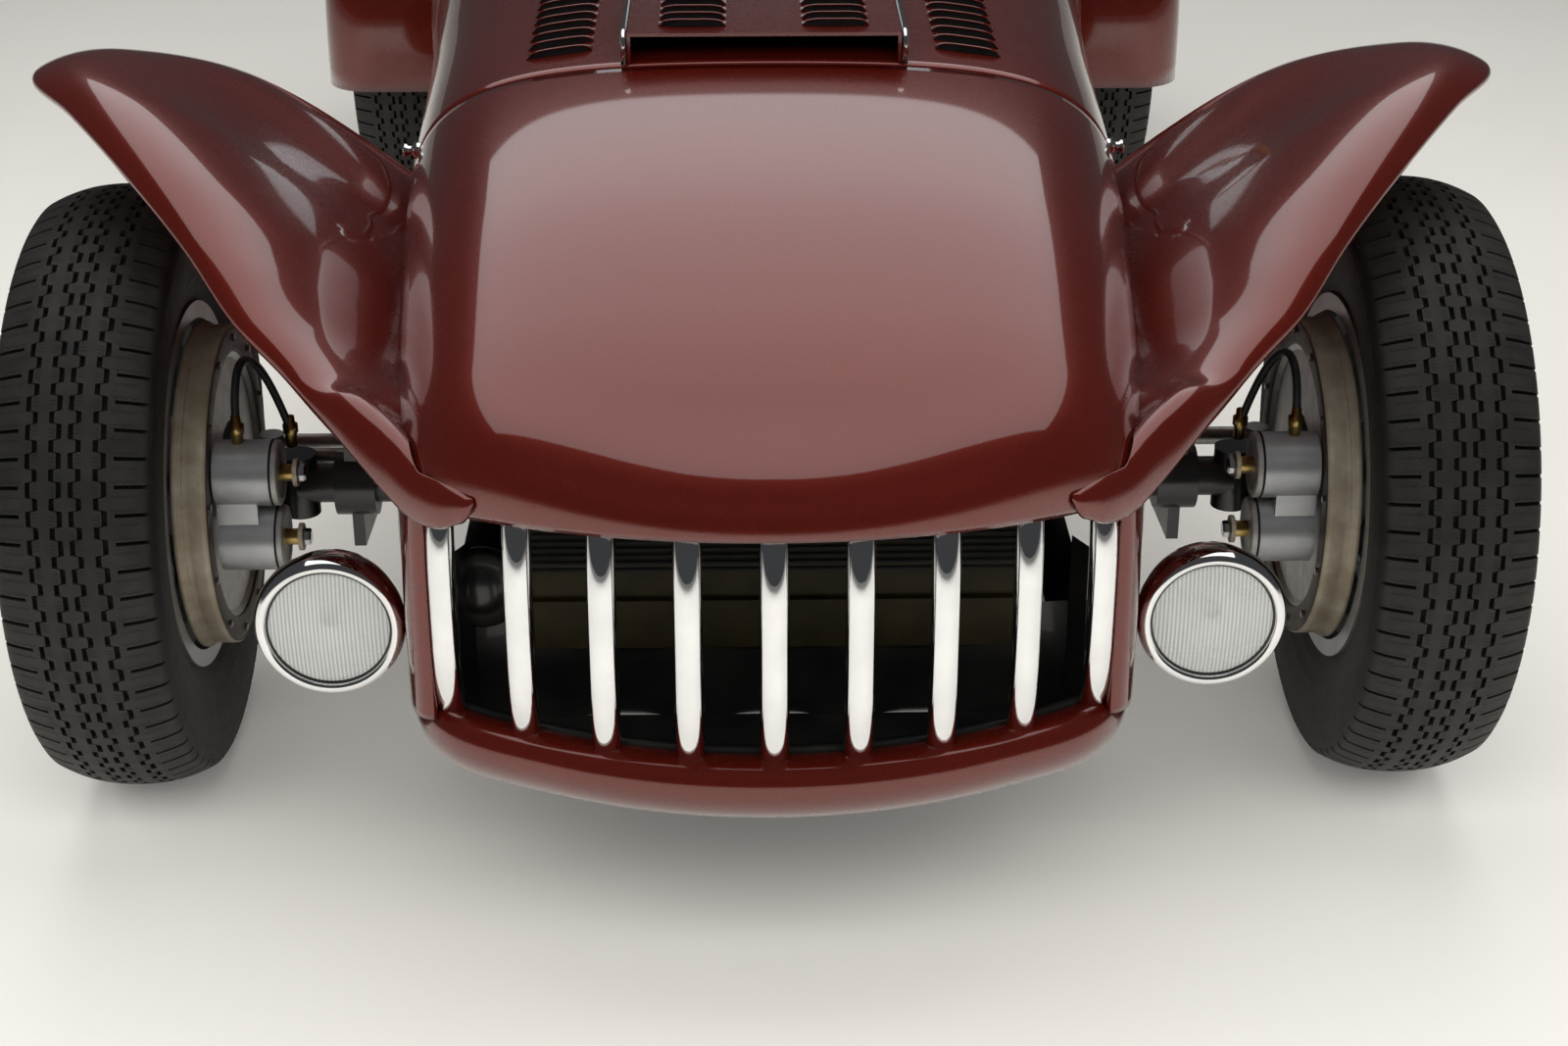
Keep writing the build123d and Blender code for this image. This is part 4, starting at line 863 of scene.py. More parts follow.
# Share of a pitch, and half width of the chain of blocks there
PITCH_STEPS = ((0.0, NECK), (0.05, WIDE), (0.56, WIDE), (0.61, NECK), (1.0, NECK))
FLANK_END, SLOT, SLOT_SHIFT, CROWN_FALL = 0.050, 0.0042, 0.30 * PITCH_ANGLE, 0.019
SIPE_WIDTH, SIPE_GAP, SIPE_LEAN, SIPE_SWING = 0.0008, 0.0042, 0.0022, 0.0012


def crown(x):
    """Radius of the tread surface at x from the tyre's middle."""
    return TYRE_RADIUS - CROWN_FALL * (abs(x) / TREAD_HALF)**2.3


def on_tyre(centre, x, angle, sink=0.0):
    """Point of the tread at x and an angle round the axle."""
    r = crown(x) - sink
    return centre + Vector((x, r * cos(angle), r * sin(angle)))


def tread_strip(centre, start, edges, columns, walls=(True, True)):
    """Rows of one tread strip through a pitch: its top, and a wall into the groove at its edges."""
    rows = []
    for share, half in PITCH_STEPS:
        a = start + share * PITCH_ANGLE
        low, high = edges(half)
        row = [on_tyre(centre, low, a, TREAD_DEPTH)] if walls[0] else []
        row += [on_tyre(centre, low + (high - low) * k / columns, a) for k in range(columns + 1)]
        row += [on_tyre(centre, high, a, TREAD_DEPTH)] if walls[1] else []
        rows.append(row)
    return rows


def ribbon(centre, points):
    """Rows of a thin dark line on the tread through (x, angle) points: painted shade standing for a narrow
    slit.
    """
    half = SIPE_WIDTH / 2 / TYRE_RADIUS
    return [[on_tyre(centre, x, a + move, -0.00015) for x, a in points] for move in (-half, half)]


def shoulder_rows(centre, side, start):
    """Rows of the shoulder through one pitch, with a slot cut in from its outer edge."""
    xs = [FLANK_END, 0.056, 0.063, 0.070, 0.076, TREAD_HALF]
    block = PITCH_ANGLE - SLOT / TYRE_RADIUS
    rows = []
    for a in (start, start + block / 2, start + block):
        row = [on_tyre(centre, side * x, a) for x in xs]
        row.append(on_tyre(centre, side * (TREAD_HALF + 0.0035), a, 0.0030))
        row.append(on_tyre(centre, side * (TREAD_HALF + 0.0030), a, 0.0100))
        rows.append(row)
    foot = xs + [TREAD_HALF + 0.0005] * 2
    first, last = [[on_tyre(centre, side * x, a, TREAD_DEPTH) for x in foot]
                   for a in (start, start + block)]
    return [first] + rows + [last]


def tread_pitch(centre, start):
    """Grids of one pitch of the tread: the middle rib, then chain, flank and shoulder on each side."""
    rib, flank = CHAIN_X - GROOVE, CHAIN_X + GROOVE
    grids = [(tread_strip(centre, start, lambda half: (half - rib, rib - half), 2), False)]
    for side in (-1, 1):
        middle = side * CHAIN_X
        chain = tread_strip(centre, start, lambda half: (middle - half, middle + half), 2)
        if side > 0:
            outer = tread_strip(centre, start, lambda half: (flank + half, FLANK_END), 1, (True, False))
        else:
            outer = tread_strip(centre, start, lambda half: (-FLANK_END, -flank - half), 1, (False, True))
        shoulder = shoulder_rows(centre, side, start + SLOT_SHIFT)
        grids += [(chain, False), (outer, False), (shoulder, side < 0)]
    return grids


def sipe_pitch(centre, start):
    """Grids of one pitch's sipe lines, drawn as painted shade: three across each chain block, and two wavy
    ones on each flank.
    """
    gap, lean, swing = [size / TYRE_RADIUS for size in (SIPE_GAP, SIPE_LEAN, SIPE_SWING)]
    grids = []
    for side in (-1, 1):
        for middle in (start + SLOT_SHIFT - gap, start + SLOT_SHIFT, start + SLOT_SHIFT + gap):
            ends = [(side * CHAIN_X + way * 0.012, middle + way * lean) for way in (-1, 1)]
            grids.append((ribbon(centre, ends), False))
        for share in (0.56, 1.04):
            wave = [(side * (0.046 + 0.0045 * i), start + share * PITCH_ANGLE + (swing if i % 2 else -swing))
                    for i in range(7)]
            grids.append((ribbon(centre, wave), False))
    return grids


def tyre_profile():
    """Half of the casing's outline as (x, radius): the groove floor, the shoulder, the side and the bead."""
    points = [(x, crown(x) - TREAD_DEPTH) for x in np.linspace(0, TREAD_HALF - 0.002, 14)]
    side = (Vector((TREAD_HALF + 0.0012, crown(TREAD_HALF) - 0.004)), Vector((0.0895, 0.314)),
            Vector((0.0895, 0.262)), Vector((0.066, 0.2170)))
    points += [tuple(bezier(side, t)) for t in np.linspace(0, 1, 34)]
    for ridge in (0.3235, 0.3180, 0.3125, 0.2560, 0.2320):
        index = min(range(14, len(points)), key=lambda k: abs(points[k][1] - ridge))
        points[index] = (points[index][0] + 0.0009, points[index][1])
    return points + [(0.064, 0.2100), (0.060, 0.2050)]


def make_tyre(name, body, node, centre):
    """Tyre with a ribbed and blocked tread, slotted shoulders and raised rings on its sides."""
    half = tyre_profile()
    outline = [(-x, r) for x, r in half[::-1]] + half[1:]
    finish_piece(turned_object(f"{name}_casing", outline, centre, "X", 144), body, RUBBER, [node])
    # A near-black ring just above the groove floor: painted shade at the bottom of the tread's channels
    bed = [(x, crown(x) - TREAD_DEPTH + 0.0008) for x in np.linspace(-0.076, 0.076, 24)]
    finish_piece(turned_object(f"{name}_groove_shade", bed, centre, "X", 144), body, SHADE_AND_GASKET_BLACK)
    tread, sipe_shade = [], []
    for k in range(PITCHES):
        tread += tread_pitch(centre, k * PITCH_ANGLE)
        sipe_shade += sipe_pitch(centre, k * PITCH_ANGLE)
    finish_piece(sharpen(joined(f"{name}_tread", tread), 40), body, RUBBER)
    finish_piece(joined(f"{name}_sipes", sipe_shade), body, SHADE_AND_GASKET_BLACK)


def make_tyres():
    """All four tyres."""
    for side, name in SIDES:
        for end, x, y in (("front", 0.740, FRONT_Y), ("rear", 0.670, REAR_Y)):
            make_tyre(f"{end}_{name}_tyre", f"{end}_{name}_wheel", f"tyre_{end}_{name}",
                      Vector((side * x, y, AXLE_Z)))


# ------------------------------------------------------------------ headlamps
LAMP_X, LAMP_Y, LAMP_Z = 0.460, -1.619, 0.377
LENS_RADIUS, LENS_EDGE, LENS_RISE = 0.0645, -0.0095, 0.0085
FLUTE_PITCH, FLUTE_DEPTH = 0.0042, 0.00035
RIB_Z, RIB_HALF, RIB_PITCH, RIB_DEPTH = 0.036, 0.012, 0.006, 0.0002
# Outlines as (back, radius), and the stub's as (outboard, radius)
LAMP_RIM = ((0.012, 0.0775), (0.004, 0.0788), (-0.006, 0.0782), (-0.013, 0.0752), (-0.016, 0.0710),
            (-0.0155, 0.0668), (-0.0125, 0.0650), (-0.010, 0.0652), (-0.008, 0.0640))
LAMP_SEAL = ((-0.0095, 0.0655), (-0.0115, 0.0640), (-0.0105, 0.0628), (-0.0085, 0.0630))
LAMP_MIRROR = [(-0.009 + 0.044 * (1 - (r / 0.064)**2), r) for r in np.linspace(0.064, 0.004, 16)]
LAMP_BULB = [(0.002 - 0.014 * cos(a), 0.011 * sin(a)) for a in np.linspace(0.02, pi * 0.75, 12)]
LAMP_BUCKET = ((0.008, 0.0745), (0.022, 0.0735), (0.038, 0.0680), (0.054, 0.0560), (0.067, 0.0380),
               (0.075, 0.0180), (0.077, 0.0))
LAMP_STUB = ((-0.078, 0.0115), (-0.098, 0.0125), (-0.100, 0.0160), (-0.108, 0.0160), (-0.112, 0.0100))
# Part, outline, its shift in y and z, sides, material, slot, and the CAD nodes the left one stands for
LAMP_PARTS = (
    ("rim", LAMP_RIM, (0, 0), 96, CHROME, "chrome", ()),
    ("seal", LAMP_SEAL, (0, 0), 96, BLACK_PAINT, "black_paint", ()),
    ("reflector", LAMP_MIRROR, (0, 0), 64, REFLECTOR, "chrome", ()),
    ("bulb", LAMP_BULB, (0.012, 0.006), 24, BULB, "glass", ()),
    ("bucket", LAMP_BUCKET, (0, 0), 64, MAROON, "paint", ["headlamps"]),
)


def make_headlamps():
    """Bright rims, fluted domed glasses, reflectors and bulbs in the painted bowls."""
    for side, name in SIDES:
        centre = Vector((side * LAMP_X, LAMP_Y, LAMP_Z))
        for part, profile, move, count, material, slot, nodes in LAMP_PARTS:
            piece = turned_object(f"lamp_{part}_{name}", profile, centre + Vector((0, *move)), "Y", count)
            finish_piece(piece, "chassis", material, nodes if name == "left" else ())
        stub = [(side * u, r) for u, r in LAMP_STUB]
        stub = turned_object(f"lamp_stub_{name}", stub, centre + Vector((0, 0.040, 0)), "X", 32)
        finish_piece(stub, "chassis", CHROME)
        lens_glass(name, centre)


def lens_glass(name, centre):
    """Domed glass with upright flutes and two bands of cross ribs."""
    steps = np.linspace(-1, 1, 97)
    rows = []
    for u in steps:
        row = []
        for v in steps:
            x, z = u * sqrt(1 - v * v / 2) * LENS_RADIUS, v * sqrt(1 - u * u / 2) * LENS_RADIUS
            r = min(sqrt(x * x + z * z) / LENS_RADIUS, 1.0)
            y = LENS_EDGE - LENS_RISE * (1 - r * r)
            y -= FLUTE_DEPTH * cos(2 * pi * x / FLUTE_PITCH) * (1 - r**6)
            if abs(abs(z) - RIB_Z) < RIB_HALF:
                y -= RIB_DEPTH * cos(2 * pi * z / RIB_PITCH)
            row.append(centre + Vector((x, y, z)))
        rows.append(row)
    finish_piece(joined(f"lamp_glass_{name}", [(rows, True)]), "chassis", LENS,
                 ["headlamp_rims", "headlamp_lenses"] if name == "left" else ())


# ------------------------------------------------------------------ front brakes and hubs
DISC_X, CALIPER_Y, BRAKE_BOLTS, BOLT_CIRCLE = 0.640, -1.327, 12, 0.1745
# Outlines as (inboard, radius)
BRAKE_FLANGE = ((0.000, 0.1878), (0.0022, 0.1868), (0.0030, 0.1800), (0.0030, 0.1600), (0.0018, 0.1575),
                (0.000, 0.1570))
BRAKE_RIM = ((0.0028, 0.1868), (0.0020, 0.1885), (-0.004, 0.1890), (-0.016, 0.1888), (-0.024, 0.1880),
             (-0.030, 0.1930), (-0.034, 0.1935), (-0.036, 0.1880))
CYLINDER_PARTS = (
    ("gasket", ((-0.001, 0.0386), (0.0015, 0.0386), (0.0015, 0.034)), SHADE_AND_GASKET_BLACK, "black_paint"),
    ("cover", ((0.0012, 0.0378), (0.0070, 0.0374), (0.0082, 0.0360), (0.0084, 0.0290), (0.0072, 0.0270),
               (0.0072, 0.0100), (0.0072, 0.0)), ALLOY, "alloy"),
    ("pin", ((0.006, 0.0095), (0.024, 0.0095)), BRASS, "brass"),
    ("washer", ((0.0225, 0.0095), (0.0225, 0.0160), (0.0275, 0.0160), (0.0275, 0.0090)), BEIGE_CAST, "steel"),
)


def make_brakes():
    """Rings and bolts of the front brakes, and the ends of their cylinders."""
    axle = Vector((0, FRONT_Y, AXLE_Z))
    for side, name in SIDES:
        wheel, inboard = f"front_{name}_wheel", -side
        face = side * (DISC_X - 0.009)
        for part, profile, material in (("flange", BRAKE_FLANGE, BROWN_CAST), ("rim", BRAKE_RIM, BEIGE_CAST)):
            ring = [(face + inboard * u, r) for u, r in profile]
            ring = turned_object(f"brake_{part}_{name}", ring, axle, "X", 96)
            finish_piece(ring, wheel, material)
        verts, faces = [], []
        for k in range(BRAKE_BOLTS):
            a = 2 * pi * (k + 0.5) / BRAKE_BOLTS
            at = axle + Vector((face + inboard * 0.003, BOLT_CIRCLE * cos(a), BOLT_CIRCLE * sin(a)))
            bolt_head(verts, faces, at, inboard, 0.0045, 0.0035)
        finish_piece(sharpen(mesh_object(f"brake_bolts_{name}", verts, faces)), wheel, STEEL)
        for index, z in enumerate((AXLE_Z - 0.017, AXLE_Z + 0.064)):
            centre = Vector((side * (DISC_X - 0.078), CALIPER_Y, z))
            make_cylinder_end(f"{name}_{index}", centre, inboard, f"knuckle_{name}")


def bolt_head(verts, faces, centre, inboard, radius, height):
    """Six-sided bolt head standing inboard from a point."""
    first, sides = len(verts), 6
    for reach, size in ((0.0, 1.0), (height * 0.8, 1.0), (height, 0.8)):
        for k in range(sides):
            a = 2 * pi * k / sides
            verts.append(centre + Vector((inboard * reach, radius * size * cos(a), radius * size * sin(a))))
    faces += grid_faces(3, sides, first, True, inboard > 0)
    top = [first + 2 * sides + k for k in range(sides)]
    faces.append(top if inboard > 0 else top[::-1])


def make_cylinder_end(label, centre, inboard, body):
    """Gasket, cover, pin, washer and nut on the end of a brake cylinder."""
    for part, profile, material, slot in CYLINDER_PARTS:
        turned = [(inboard * u, r) for u, r in profile]
        piece = sharpen(turned_object(f"{part}_{label}", turned, centre, "X", 40))
        finish_piece(piece, body, material)
    verts, faces = [], []
    bolt_head(verts, faces, centre + Vector((inboard * 0.0272, 0, 0)), inboard, 0.0098, 0.0090)
    finish_piece(sharpen(mesh_object(f"nut_{label}", verts, faces)), body, CHROME)


# ------------------------------------------------------------------ tubes
def tube_object(name, points, radius):
    """Round tube along points, closed at its ends."""
    count = 14
    rows = []
    side = heading(points, 0).orthogonal().normalized()
    for index, p in enumerate(points):
        run = heading(points, index).normalized()
        side = (side - run * side.dot(run)).normalized()
        up = run.cross(side)
        rows.append([p + (side * cos(a) + up * sin(a)) * radius
                     for a in np.linspace(0, 2 * pi, count, endpoint=False)])
    verts = flat(rows)
    faces = grid_faces(len(rows), count, 0, True)
    faces += [list(range(count))[::-1], [len(verts) - count + k for k in range(count)]]
    return mesh_object(name, verts, faces)


def body_z(x, y):
    """Height of the body's top at x and y."""
    xs, zs = dense_outline(y)
    return float(np.interp(abs(x), xs[::-1], zs[::-1]))


# ------------------------------------------------------------------ hood details
SCOOP_HALF, SCOOP_FRONT, SCOOP_REAR = 0.158, -1.102, -0.375
LATCH_KNOB = ((-0.004, 0.010), (0.003, 0.010), (0.005, 0.0060), (0.010, 0.0055), (0.013, 0.0085),
              (0.016, 0.0080), (0.018, 0.0))
LOUVRE_WIDTH, LOUVRE_LENGTH, LOUVRE_RISE, LOUVRE_PITCH = 0.078, 0.024, 0.009, 0.032


def scoop_z(x, y):
    """Height of the CAD scoop's top at x and y, or of the body beside it."""
    scoop = frame["nodes"]["hood_scoop"]
    place = scoop.matrix_world.inverted()
    above, down = place @ Vector((x, y, 1.5)), place.to_3x3() @ Vector((0, 0, -1))
    hit, where, _, _ = scoop.ray_cast(above, down)
    return (scoop.matrix_world @ where).z if hit else body_z(x, y)


def louvre(skin, mouth_shade, x, y, height):
    """One louvre: a raised lip falling back to the skin, and a black strip at its front, painted shade where
    the louvre opens.
    """
    rows = []
    for t in np.linspace(0, 1, 6):
        row = []
        for s in np.linspace(-1, 1, 14):
            lift = LOUVRE_RISE * (1 - s**4)**0.5 * (1 - t**1.6)
            px, py = x + s * LOUVRE_WIDTH / 2, y + t * LOUVRE_LENGTH + 0.004 * s * s * (1 - t)
            row.append(Vector((px, py, height(px, py) + lift + 0.0006)))
        rows.append(row)
    skin.append((rows, False))
    # Black strip at the front: painted shade for the louvre's opening
    foot = [Vector((p.x, p.y + 0.001, height(p.x, p.y) + 0.0004)) for p in rows[0]]
    back = [Vector((p.x, p.y + 0.0014, p.z - 0.0011)) for p in rows[0]]
    mouth_shade.append(([foot, back], False))


def make_louvres():
    """Two rows of louvres in the hood and two in its scoop."""
    skin, mouth_shade = [], []
    for x, first, last, height in ((0.240, 0.062, 0.020, body_z), (0.083, 0.034, 0.070, scoop_z)):
        for side in (-1, 1):
            for y in np.arange(HOOD_FRONT + first, SCOOP_REAR - last, LOUVRE_PITCH):
                louvre(skin, mouth_shade, side * x, y, height)
    louvres = joined("hood_louvres", skin)
    add_modifier(louvres, "SOLIDIFY", thickness=0.0012, offset=-1.0, use_rim=True)
    finish_piece(louvres, "hood_lid", MAROON)
    # Painted shade: black strips at the fronts of the louvres
    finish_piece(joined("louvre_mouth_shade", mouth_shade), "hood_lid", SHADE_AND_GASKET_BLACK)


def make_scoop_trim(side, name):
    """Dark wall along one side of the scoop, with a bright bead over it."""
    x, ys = side * (SCOOP_HALF + 0.004), np.linspace(HOOD_FRONT + 0.006, SCOOP_REAR, 50)
    tops = [scoop_z(side * (SCOOP_HALF - 0.004), max(y, SCOOP_FRONT + 0.004)) for y in ys]
    feet = [body_z(x, y) - 0.002 for y in ys]
    wall = [[Vector((x + side * d, y, z)) for y, z in zip(ys, heights)]
            for d, heights in ((-0.003, feet), (0.003, feet), (0.003, tops), (-0.003, tops))]
    finish_piece(joined(f"scoop_trim_{name}", [(wall, side < 0)]), "hood_lid", BLACK_PAINT)
    front, top = ys[0], tops[0]
    bead = [Vector((x, front - 0.004, body_z(x, front) + 0.004)), Vector((x, front - 0.005, top - 0.008)),
            Vector((x, front, top - 0.001))]
    bead += [Vector((x, y, z)) for y, z in zip(ys[1:], tops[1:])]
    finish_piece(tube_object(f"scoop_bead_{name}", bead, 0.0034), "hood_lid", CHROME)


def make_hood_latch(side, name):
    """Knob on the hood's side."""
    y, z = HOOD_FRONT + 0.050, 0.715
    knob = [(side * u, r) for u, r in LATCH_KNOB]
    knob = turned_object(f"hood_latch_{name}", knob, Vector((side * body_half_width(y, z), y, z)), "X", 28)
    finish_piece(knob, "hood_lid", CHROME)


def make_hood_fittings():
    """Louvres, scoop trims and latches."""
    make_louvres()
    for side, name in SIDES:
        make_scoop_trim(side, name)
        make_hood_latch(side, name)


# ------------------------------------------------------------------ hoses, horn and radiator
# The left brake hose's course, from the caliper up and over to the axle
HOSE_START = Vector((0.600, FRONT_Y - 0.112, AXLE_Z + 0.116))
HOSE_END = Vector((0.560, FRONT_Y - 0.004, AXLE_Z + 0.070))
HOSE_COURSE = (HOSE_START, HOSE_START + Vector((0.000, 0.004, 0.110)),
               HOSE_END + Vector((0.030, -0.020, 0.130)), HOSE_END)
HOSE_UNION = ((-0.020, 0.0), (-0.020, 0.0065), (-0.004, 0.0072), (-0.002, 0.0090), (0.008, 0.0090),
              (0.010, 0.0060), (0.018, 0.0055), (0.020, 0.0))
HORN = ((0.030, 0.0), (0.030, 0.030), (0.020, 0.038), (0.004, 0.0440), (-0.004, 0.0440), (-0.008, 0.0400),
        (-0.006, 0.030), (-0.012, 0.022), (-0.016, 0.012), (-0.017, 0.0))


def make_brake_hoses():
    """Black brake hoses on the knuckles, with a brass union at either end."""
    for side, name in SIDES:
        points = [bezier(HOSE_COURSE, t) for t in np.linspace(0, 1, 40)]
        points = [Vector((side * p.x, p.y, p.z)) for p in points]
        finish_piece(tube_object(f"brake_hose_{name}", points, 0.0048), f"knuckle_{name}", HOSE)
        for label, at in (("low", points[0]), ("high", points[-1])):
            union = turned_object(f"hose_union_{label}_{name}", HOSE_UNION, at, "Z", 20)
            finish_piece(union, f"knuckle_{name}", BRASS)


def make_horn():
    """Dark horn behind the outer grille bars."""
    horn = turned_object("horn", HORN, Vector((-0.300, FRONT_Y - 0.410, 0.420)), "Y", 48)
    finish_piece(horn, "chassis", BLACK_PAINT)


def make_radiator_fins():
    """Dark fins across the face of the radiator core."""
    fins = []
    for z in np.arange(0.436, 0.630, 0.008):
        fins.append(([[Vector((x, -1.623 - d, z + h)) for x in np.linspace(-0.258, 0.258, 60)]
                      for d, h in ((0.0, 0.0), (0.005, 0.002), (0.0, 0.005))], False))
    finish_piece(joined("radiator_fins", fins), "chassis", DARK_CORE)
# ------------------------------------------------------------------ cockpit
SEAT_X = 0.290
# Part, middle in y and z, half sizes in x, y and z, and its lean back for each metre up
SEAT_PADS = (
    ("cushion", (0.291, 0.383), (0.184, 0.174, 0.056), 0.0),
    ("back", (0.540, 0.612), (0.178, 0.036, 0.186), 0.12),
)
SWELL_PRESSURE, SWELL_FRAMES, SWELL_CAP = 4.0, 15, 0.012
PLEAT_PITCH, PLEAT_HALF, PLEAT_DEPTH = 0.050, 0.012, 0.007
SEAM_X, SEAM_HALF, SEAM_DEPTH = 0.156, 0.006, 0.006


def rounded_pad(name, centre, half, lean):
    """Closed pad with full rounded edges, leaning back by a share of its height."""
    power = 5.0
    rows = []
    for v in np.linspace(-pi / 2, pi / 2, 41):
        row = []
        for u in np.linspace(-pi, pi, 80, endpoint=False):
            d = Vector((cos(v) * cos(u), cos(v) * sin(u), sin(v)))
            size = (abs(d.x)**power + abs(d.y)**power + abs(d.z)**power)**(-1 / power)
            p = Vector([part * size * reach for part, reach in zip(d, half)])
            row.append(centre + Vector((p.x, p.y + p.z * lean, p.z)))
        rows.append(row)
    return mesh_object(name, flat(rows), grid_faces(41, 80, 0, True, True))


def apply_first(obj):
    """Applies a mesh's first modifier."""
    bpy.context.view_layer.objects.active = obj
    bpy.ops.object.modifier_apply(modifier=obj.modifiers[0].name)


def swell(obj):
    """Lets a pad swell under cloth pressure, no further than a cap."""
    add_modifier(obj, "REMESH", mode="VOXEL", voxel_size=0.009)
    apply_first(obj)
    before = np.array([v.co[:] for v in obj.data.vertices])
    cloth = obj.modifiers.new("swell", "CLOTH")
    cloth.settings.use_pressure = True
    cloth.settings.uniform_pressure_force = SWELL_PRESSURE
    cloth.settings.effector_weights.gravity = 0.0
    for step in range(1, SWELL_FRAMES + 1):
        bpy.context.scene.frame_set(step)
    shape = obj.evaluated_get(bpy.context.evaluated_depsgraph_get()).data
    after = np.array([v.co[:] for v in shape.vertices])
    obj.modifiers.clear()
    moved = after - before
    reach = np.linalg.norm(moved, axis=1)[:, None]
    moved *= np.minimum(1.0, SWELL_CAP / np.maximum(reach, 1e-9))
    for vertex, place in zip(obj.data.vertices, before + moved):
        vertex.co = place
    bpy.context.scene.frame_set(1)


def pleat(obj, middle, upright):
    """Presses sewn channels and a border seam into a pad's facing side."""
    for vertex in obj.data.vertices:
        x = vertex.co.x - middle
        if abs(x) > 0.150:
            depth = SEAM_DEPTH * max(0.0, 1 - abs(abs(x) - SEAM_X) / SEAM_HALF)
        else:
            away = abs((x + PLEAT_PITCH / 2) % PLEAT_PITCH - PLEAT_PITCH / 2)
            depth = PLEAT_DEPTH * max(0.0, 1 - away / PLEAT_HALF)**2
        facing = max(0.0, -vertex.normal.y if upright else vertex.normal.z)
        vertex.co -= vertex.normal * depth * facing


def make_seats():
    """Pleated leather bucket cushions and backs."""
    nodes = ["seats"]
    for side, name in SIDES:
        for part, middle, half, lean in SEAT_PADS:
            pad = rounded_pad(f"seat_{part}_{name}", Vector((side * SEAT_X, *middle)), half, lean)
            swell(pad)
            add_modifier(pad, "SUBSURF", levels=1, render_levels=1)
            apply_first(pad)
            pleat(pad, side * SEAT_X, part == "back")
            shade_smooth(pad)
            finish_piece(pad, "chassis", LEATHER, nodes)
            nodes = []


SCREEN_HALF, SCREEN_Y, SCREEN_TOP, SCREEN_FOOT = 0.392, COCKPIT_FRONT - 0.095, 1.0185, 0.853
# Radius of the screen's curve in plan, and radius and centre height of its top edge
SCREEN_PLAN, SCREEN_ARC, SCREEN_ARC_Z = 0.5175, 0.8976, 0.1324


def make_screen_frame():
    """Polished bead over the windscreen, the channel at its foot and a post at either end."""
    xs = np.linspace(-SCREEN_HALF, SCREEN_HALF, 90)
    ys = [SCREEN_Y + SCREEN_PLAN - sqrt(SCREEN_PLAN**2 - x * x) for x in xs]
    tops = [min(SCREEN_TOP, SCREEN_ARC_Z + sqrt(SCREEN_ARC**2 - x * x) - 0.001) for x in xs]
    top = [Vector(p) for p in zip(xs, ys, tops)]
    foot = [Vector((x, y, max(body_z(x, y) + 0.003, SCREEN_FOOT))) for x, y in zip(xs, ys)]
    finish_piece(tube_object("screen_bead", top, 0.0045), "chassis", CHROME)
    finish_piece(tube_object("screen_channel", foot, 0.0080), "chassis", CHROME)
    for end, name in ((0, "right"), (-1, "left")):
        post = [top[end] + (foot[end] - top[end]) * t for t in np.linspace(0, 1, 12)]
        finish_piece(tube_object(f"screen_post_{name}", post, 0.0060), "chassis", CHROME)


# ------------------------------------------------------------------ setting
FLOOR_REACH = 30
# Name, place, aim, size and power; only the overhead one shows in reflections
LAMPS = (
    ("overhead", (0, 0.3, 3.3), (0, 0.2, 0), (4.3, 4.8), 92),
    ("front", (0, -4.9, 3.6), (0, -2.4, 0.0), (6.5, 2.2), 200),
    ("left", (4.8, -1.0, 3.0), (0.6, -1.0, 0.2), (2.2, 3.2), 44),
    ("right", (-4.8, -1.0, 3.0), (-0.6, -1.0, 0.2), (2.2, 3.2), 44),
)
# Yaw, pitch and roll in degrees, as solved from the photograph
CAMERA_PLACE, CAMERA_ANGLES = Vector((-0.0315, FRONT_Y - 2.741, 1.5986)), (1.082, 25.41, 0.017)
CAMERA_LENS = 57.93


def area_light(name, place, aim, size, power):
    """Rectangular soft light aimed at a point."""
    data = bpy.data.lights.new(name, "AREA")
    data.shape, data.energy = "RECTANGLE", power
    data.size, data.size_y = size
    lamp = bpy.data.objects.new(name, data)
    lamp.location = place
    lamp.rotation_mode = "QUATERNION"
    lamp.rotation_quaternion = (Vector(aim) - Vector(place)).to_track_quat("-Z", "Y")
    bpy.context.scene.collection.objects.link(lamp)
    return lamp


def seen(tree, base, lift, kinds):
    """A strength that is a base value plus a lift where one of the kinds of ray sees it."""
    path = new_node(tree, "LightPath")
    total = None
    for kind in kinds:
        step = new_node(tree, "Math", {0: 0.0}, {1: path.outputs[kind]})
        step.operation, step.use_clamp = "ADD", True
        if total:
            tree.links.new(total, step.inputs[0])
        total = step.outputs["Value"]
    scale = new_node(tree, "Math", {1: lift, 2: base}, {0: total})
    scale.operation = "MULTIPLY_ADD"
    return scale.outputs["Value"]


def floor_material():
    """Pale painted studio floor, lifted a little where the camera, chrome or glass shows it."""
    material = mottled("floor_paint", (0.88, 0.855, 0.79), (0.92, 0.895, 0.83), 0.8, 0.5, 0.6,
                       grain=0.02, grain_scale=60, Emission_Color=(1.0, 0.975, 0.92, 1))
    tree = material.node_tree
    lift = seen(tree, 0.0, 0.14, ("Is Camera Ray", "Is Glossy Ray", "Is Transmission Ray"))
    link(tree, tree.nodes["Principled BSDF"], Emission_Strength=lift)
    return material


def make_world():
    """Dim sky that the camera, and glass in front of it, see brighter."""
    world = bpy.data.worlds.new("studio")
    world.use_nodes = True
    tree = world.node_tree
    background = tree.nodes["Background"]
    background.inputs["Color"].default_value = (0.80, 0.82, 0.85, 1)
    strength = seen(tree, 0.06, 0.70, ("Is Camera Ray", "Is Transmission Ray"))
    tree.links.new(strength, background.inputs["Strength"])
    bpy.context.scene.world = world


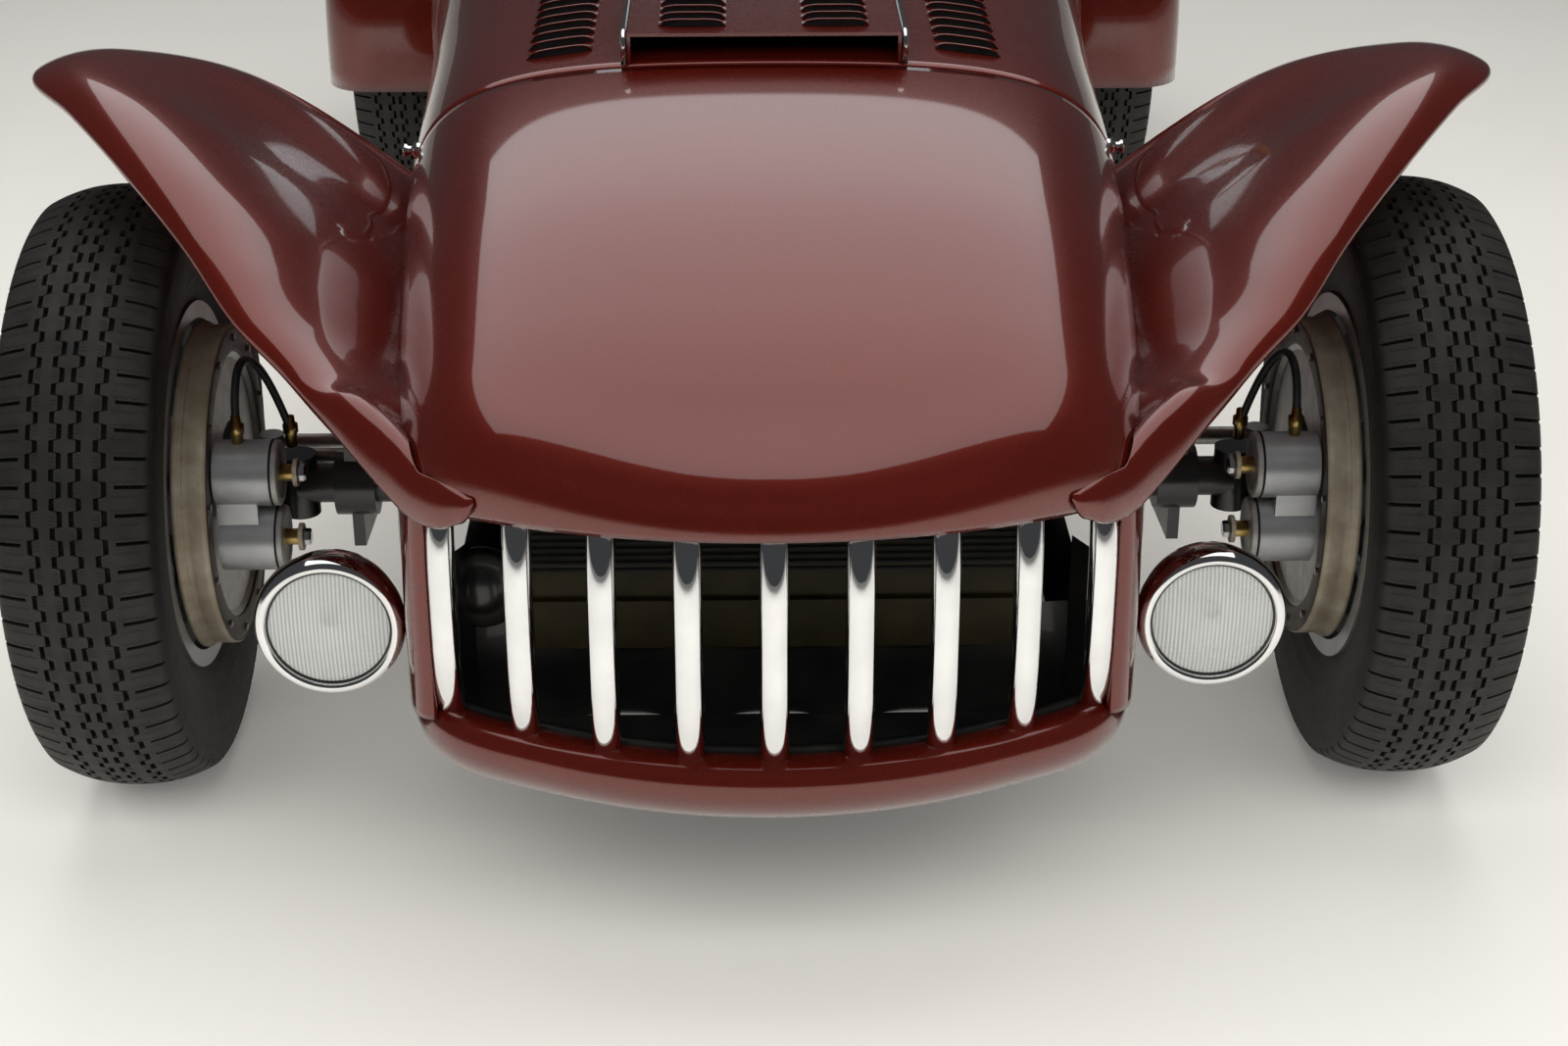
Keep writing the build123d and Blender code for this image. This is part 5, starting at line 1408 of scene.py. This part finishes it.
def make_setting():
    """Floor, lamps and camera."""
    corners = [(x * FLOOR_REACH, y * FLOOR_REACH, 0) for x, y in ((-1, -1), (1, -1), (1, 1), (-1, 1))]
    floor = mesh_object("floor", corners, [(0, 1, 2, 3)])
    floor.data.materials.append(floor_material())
    bpy.context.scene.view_settings.view_transform = "Standard"
    make_world()
    for lamp in LAMPS:
        light = area_light(*lamp)
        light.visible_glossy = light.name == "overhead"
    make_camera()


def make_camera():
    """Camera given by where it stands and its three angles."""
    yaw, pitch, roll = [radians(angle) for angle in CAMERA_ANGLES]
    forward = Vector((sin(yaw) * cos(pitch), cos(yaw) * cos(pitch), -sin(pitch)))
    level = Vector((cos(yaw), -sin(yaw), 0))
    down = forward.cross(level)
    right = level * cos(roll) + down * sin(roll)
    up = level * sin(roll) - down * cos(roll)
    data = bpy.data.cameras.new("camera")
    data.lens, data.sensor_width = CAMERA_LENS, 36.0
    camera = bpy.data.objects.new("camera", data)
    bpy.context.scene.collection.objects.link(camera)
    columns = (right, up, -forward, CAMERA_PLACE)
    camera.matrix_world = Matrix([[column[k] for column in columns] for k in range(3)] + [[0, 0, 0, 1]])
    bpy.context.scene.camera = camera


# ------------------------------------------------------------------ the model
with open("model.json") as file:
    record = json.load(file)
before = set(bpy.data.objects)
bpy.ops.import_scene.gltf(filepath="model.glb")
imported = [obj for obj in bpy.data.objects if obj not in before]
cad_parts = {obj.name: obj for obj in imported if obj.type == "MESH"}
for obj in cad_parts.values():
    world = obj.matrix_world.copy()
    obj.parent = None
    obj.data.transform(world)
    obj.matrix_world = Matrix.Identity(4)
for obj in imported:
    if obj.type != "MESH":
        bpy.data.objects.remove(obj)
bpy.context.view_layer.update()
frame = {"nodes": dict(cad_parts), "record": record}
FINISHES = {
    "paint": MAROON, "black_paint": BLACK_PAINT, "chrome": CHROME, "steel": STEEL, "alloy": WHEEL_SILVER,
    "iron": IRON, "brass": SHADED_BRASS, "tyre": RUBBER, "leather": LEATHER, "glass": GLASS,
    "red_glass": RED_GLASS, "wood": WOOD,
}


def dress_frame():
    """Gives every CAD node the material of its slot."""
    slots = {entry["node"]: entry["material_slot"] for entry in frame["record"]["subparts"]}
    for node, obj in frame["nodes"].items():
        obj.data.materials.clear()
        obj.data.materials.append(FINISHES[slots[node]])
        for face in obj.data.polygons:
            face.use_smooth = True
        if "sharp_face" in obj.data.attributes:
            obj.data.attributes.remove(obj.data.attributes["sharp_face"])


make_body()
make_front_fenders()
make_rear_fenders()
make_grille()
make_grille_backing()
make_tyres()
make_headlamps()
make_brakes()
make_hood_fittings()
make_brake_hoses()
make_horn()
make_radiator_fins()
make_seats()
make_screen_frame()
dress_frame()
make_setting()
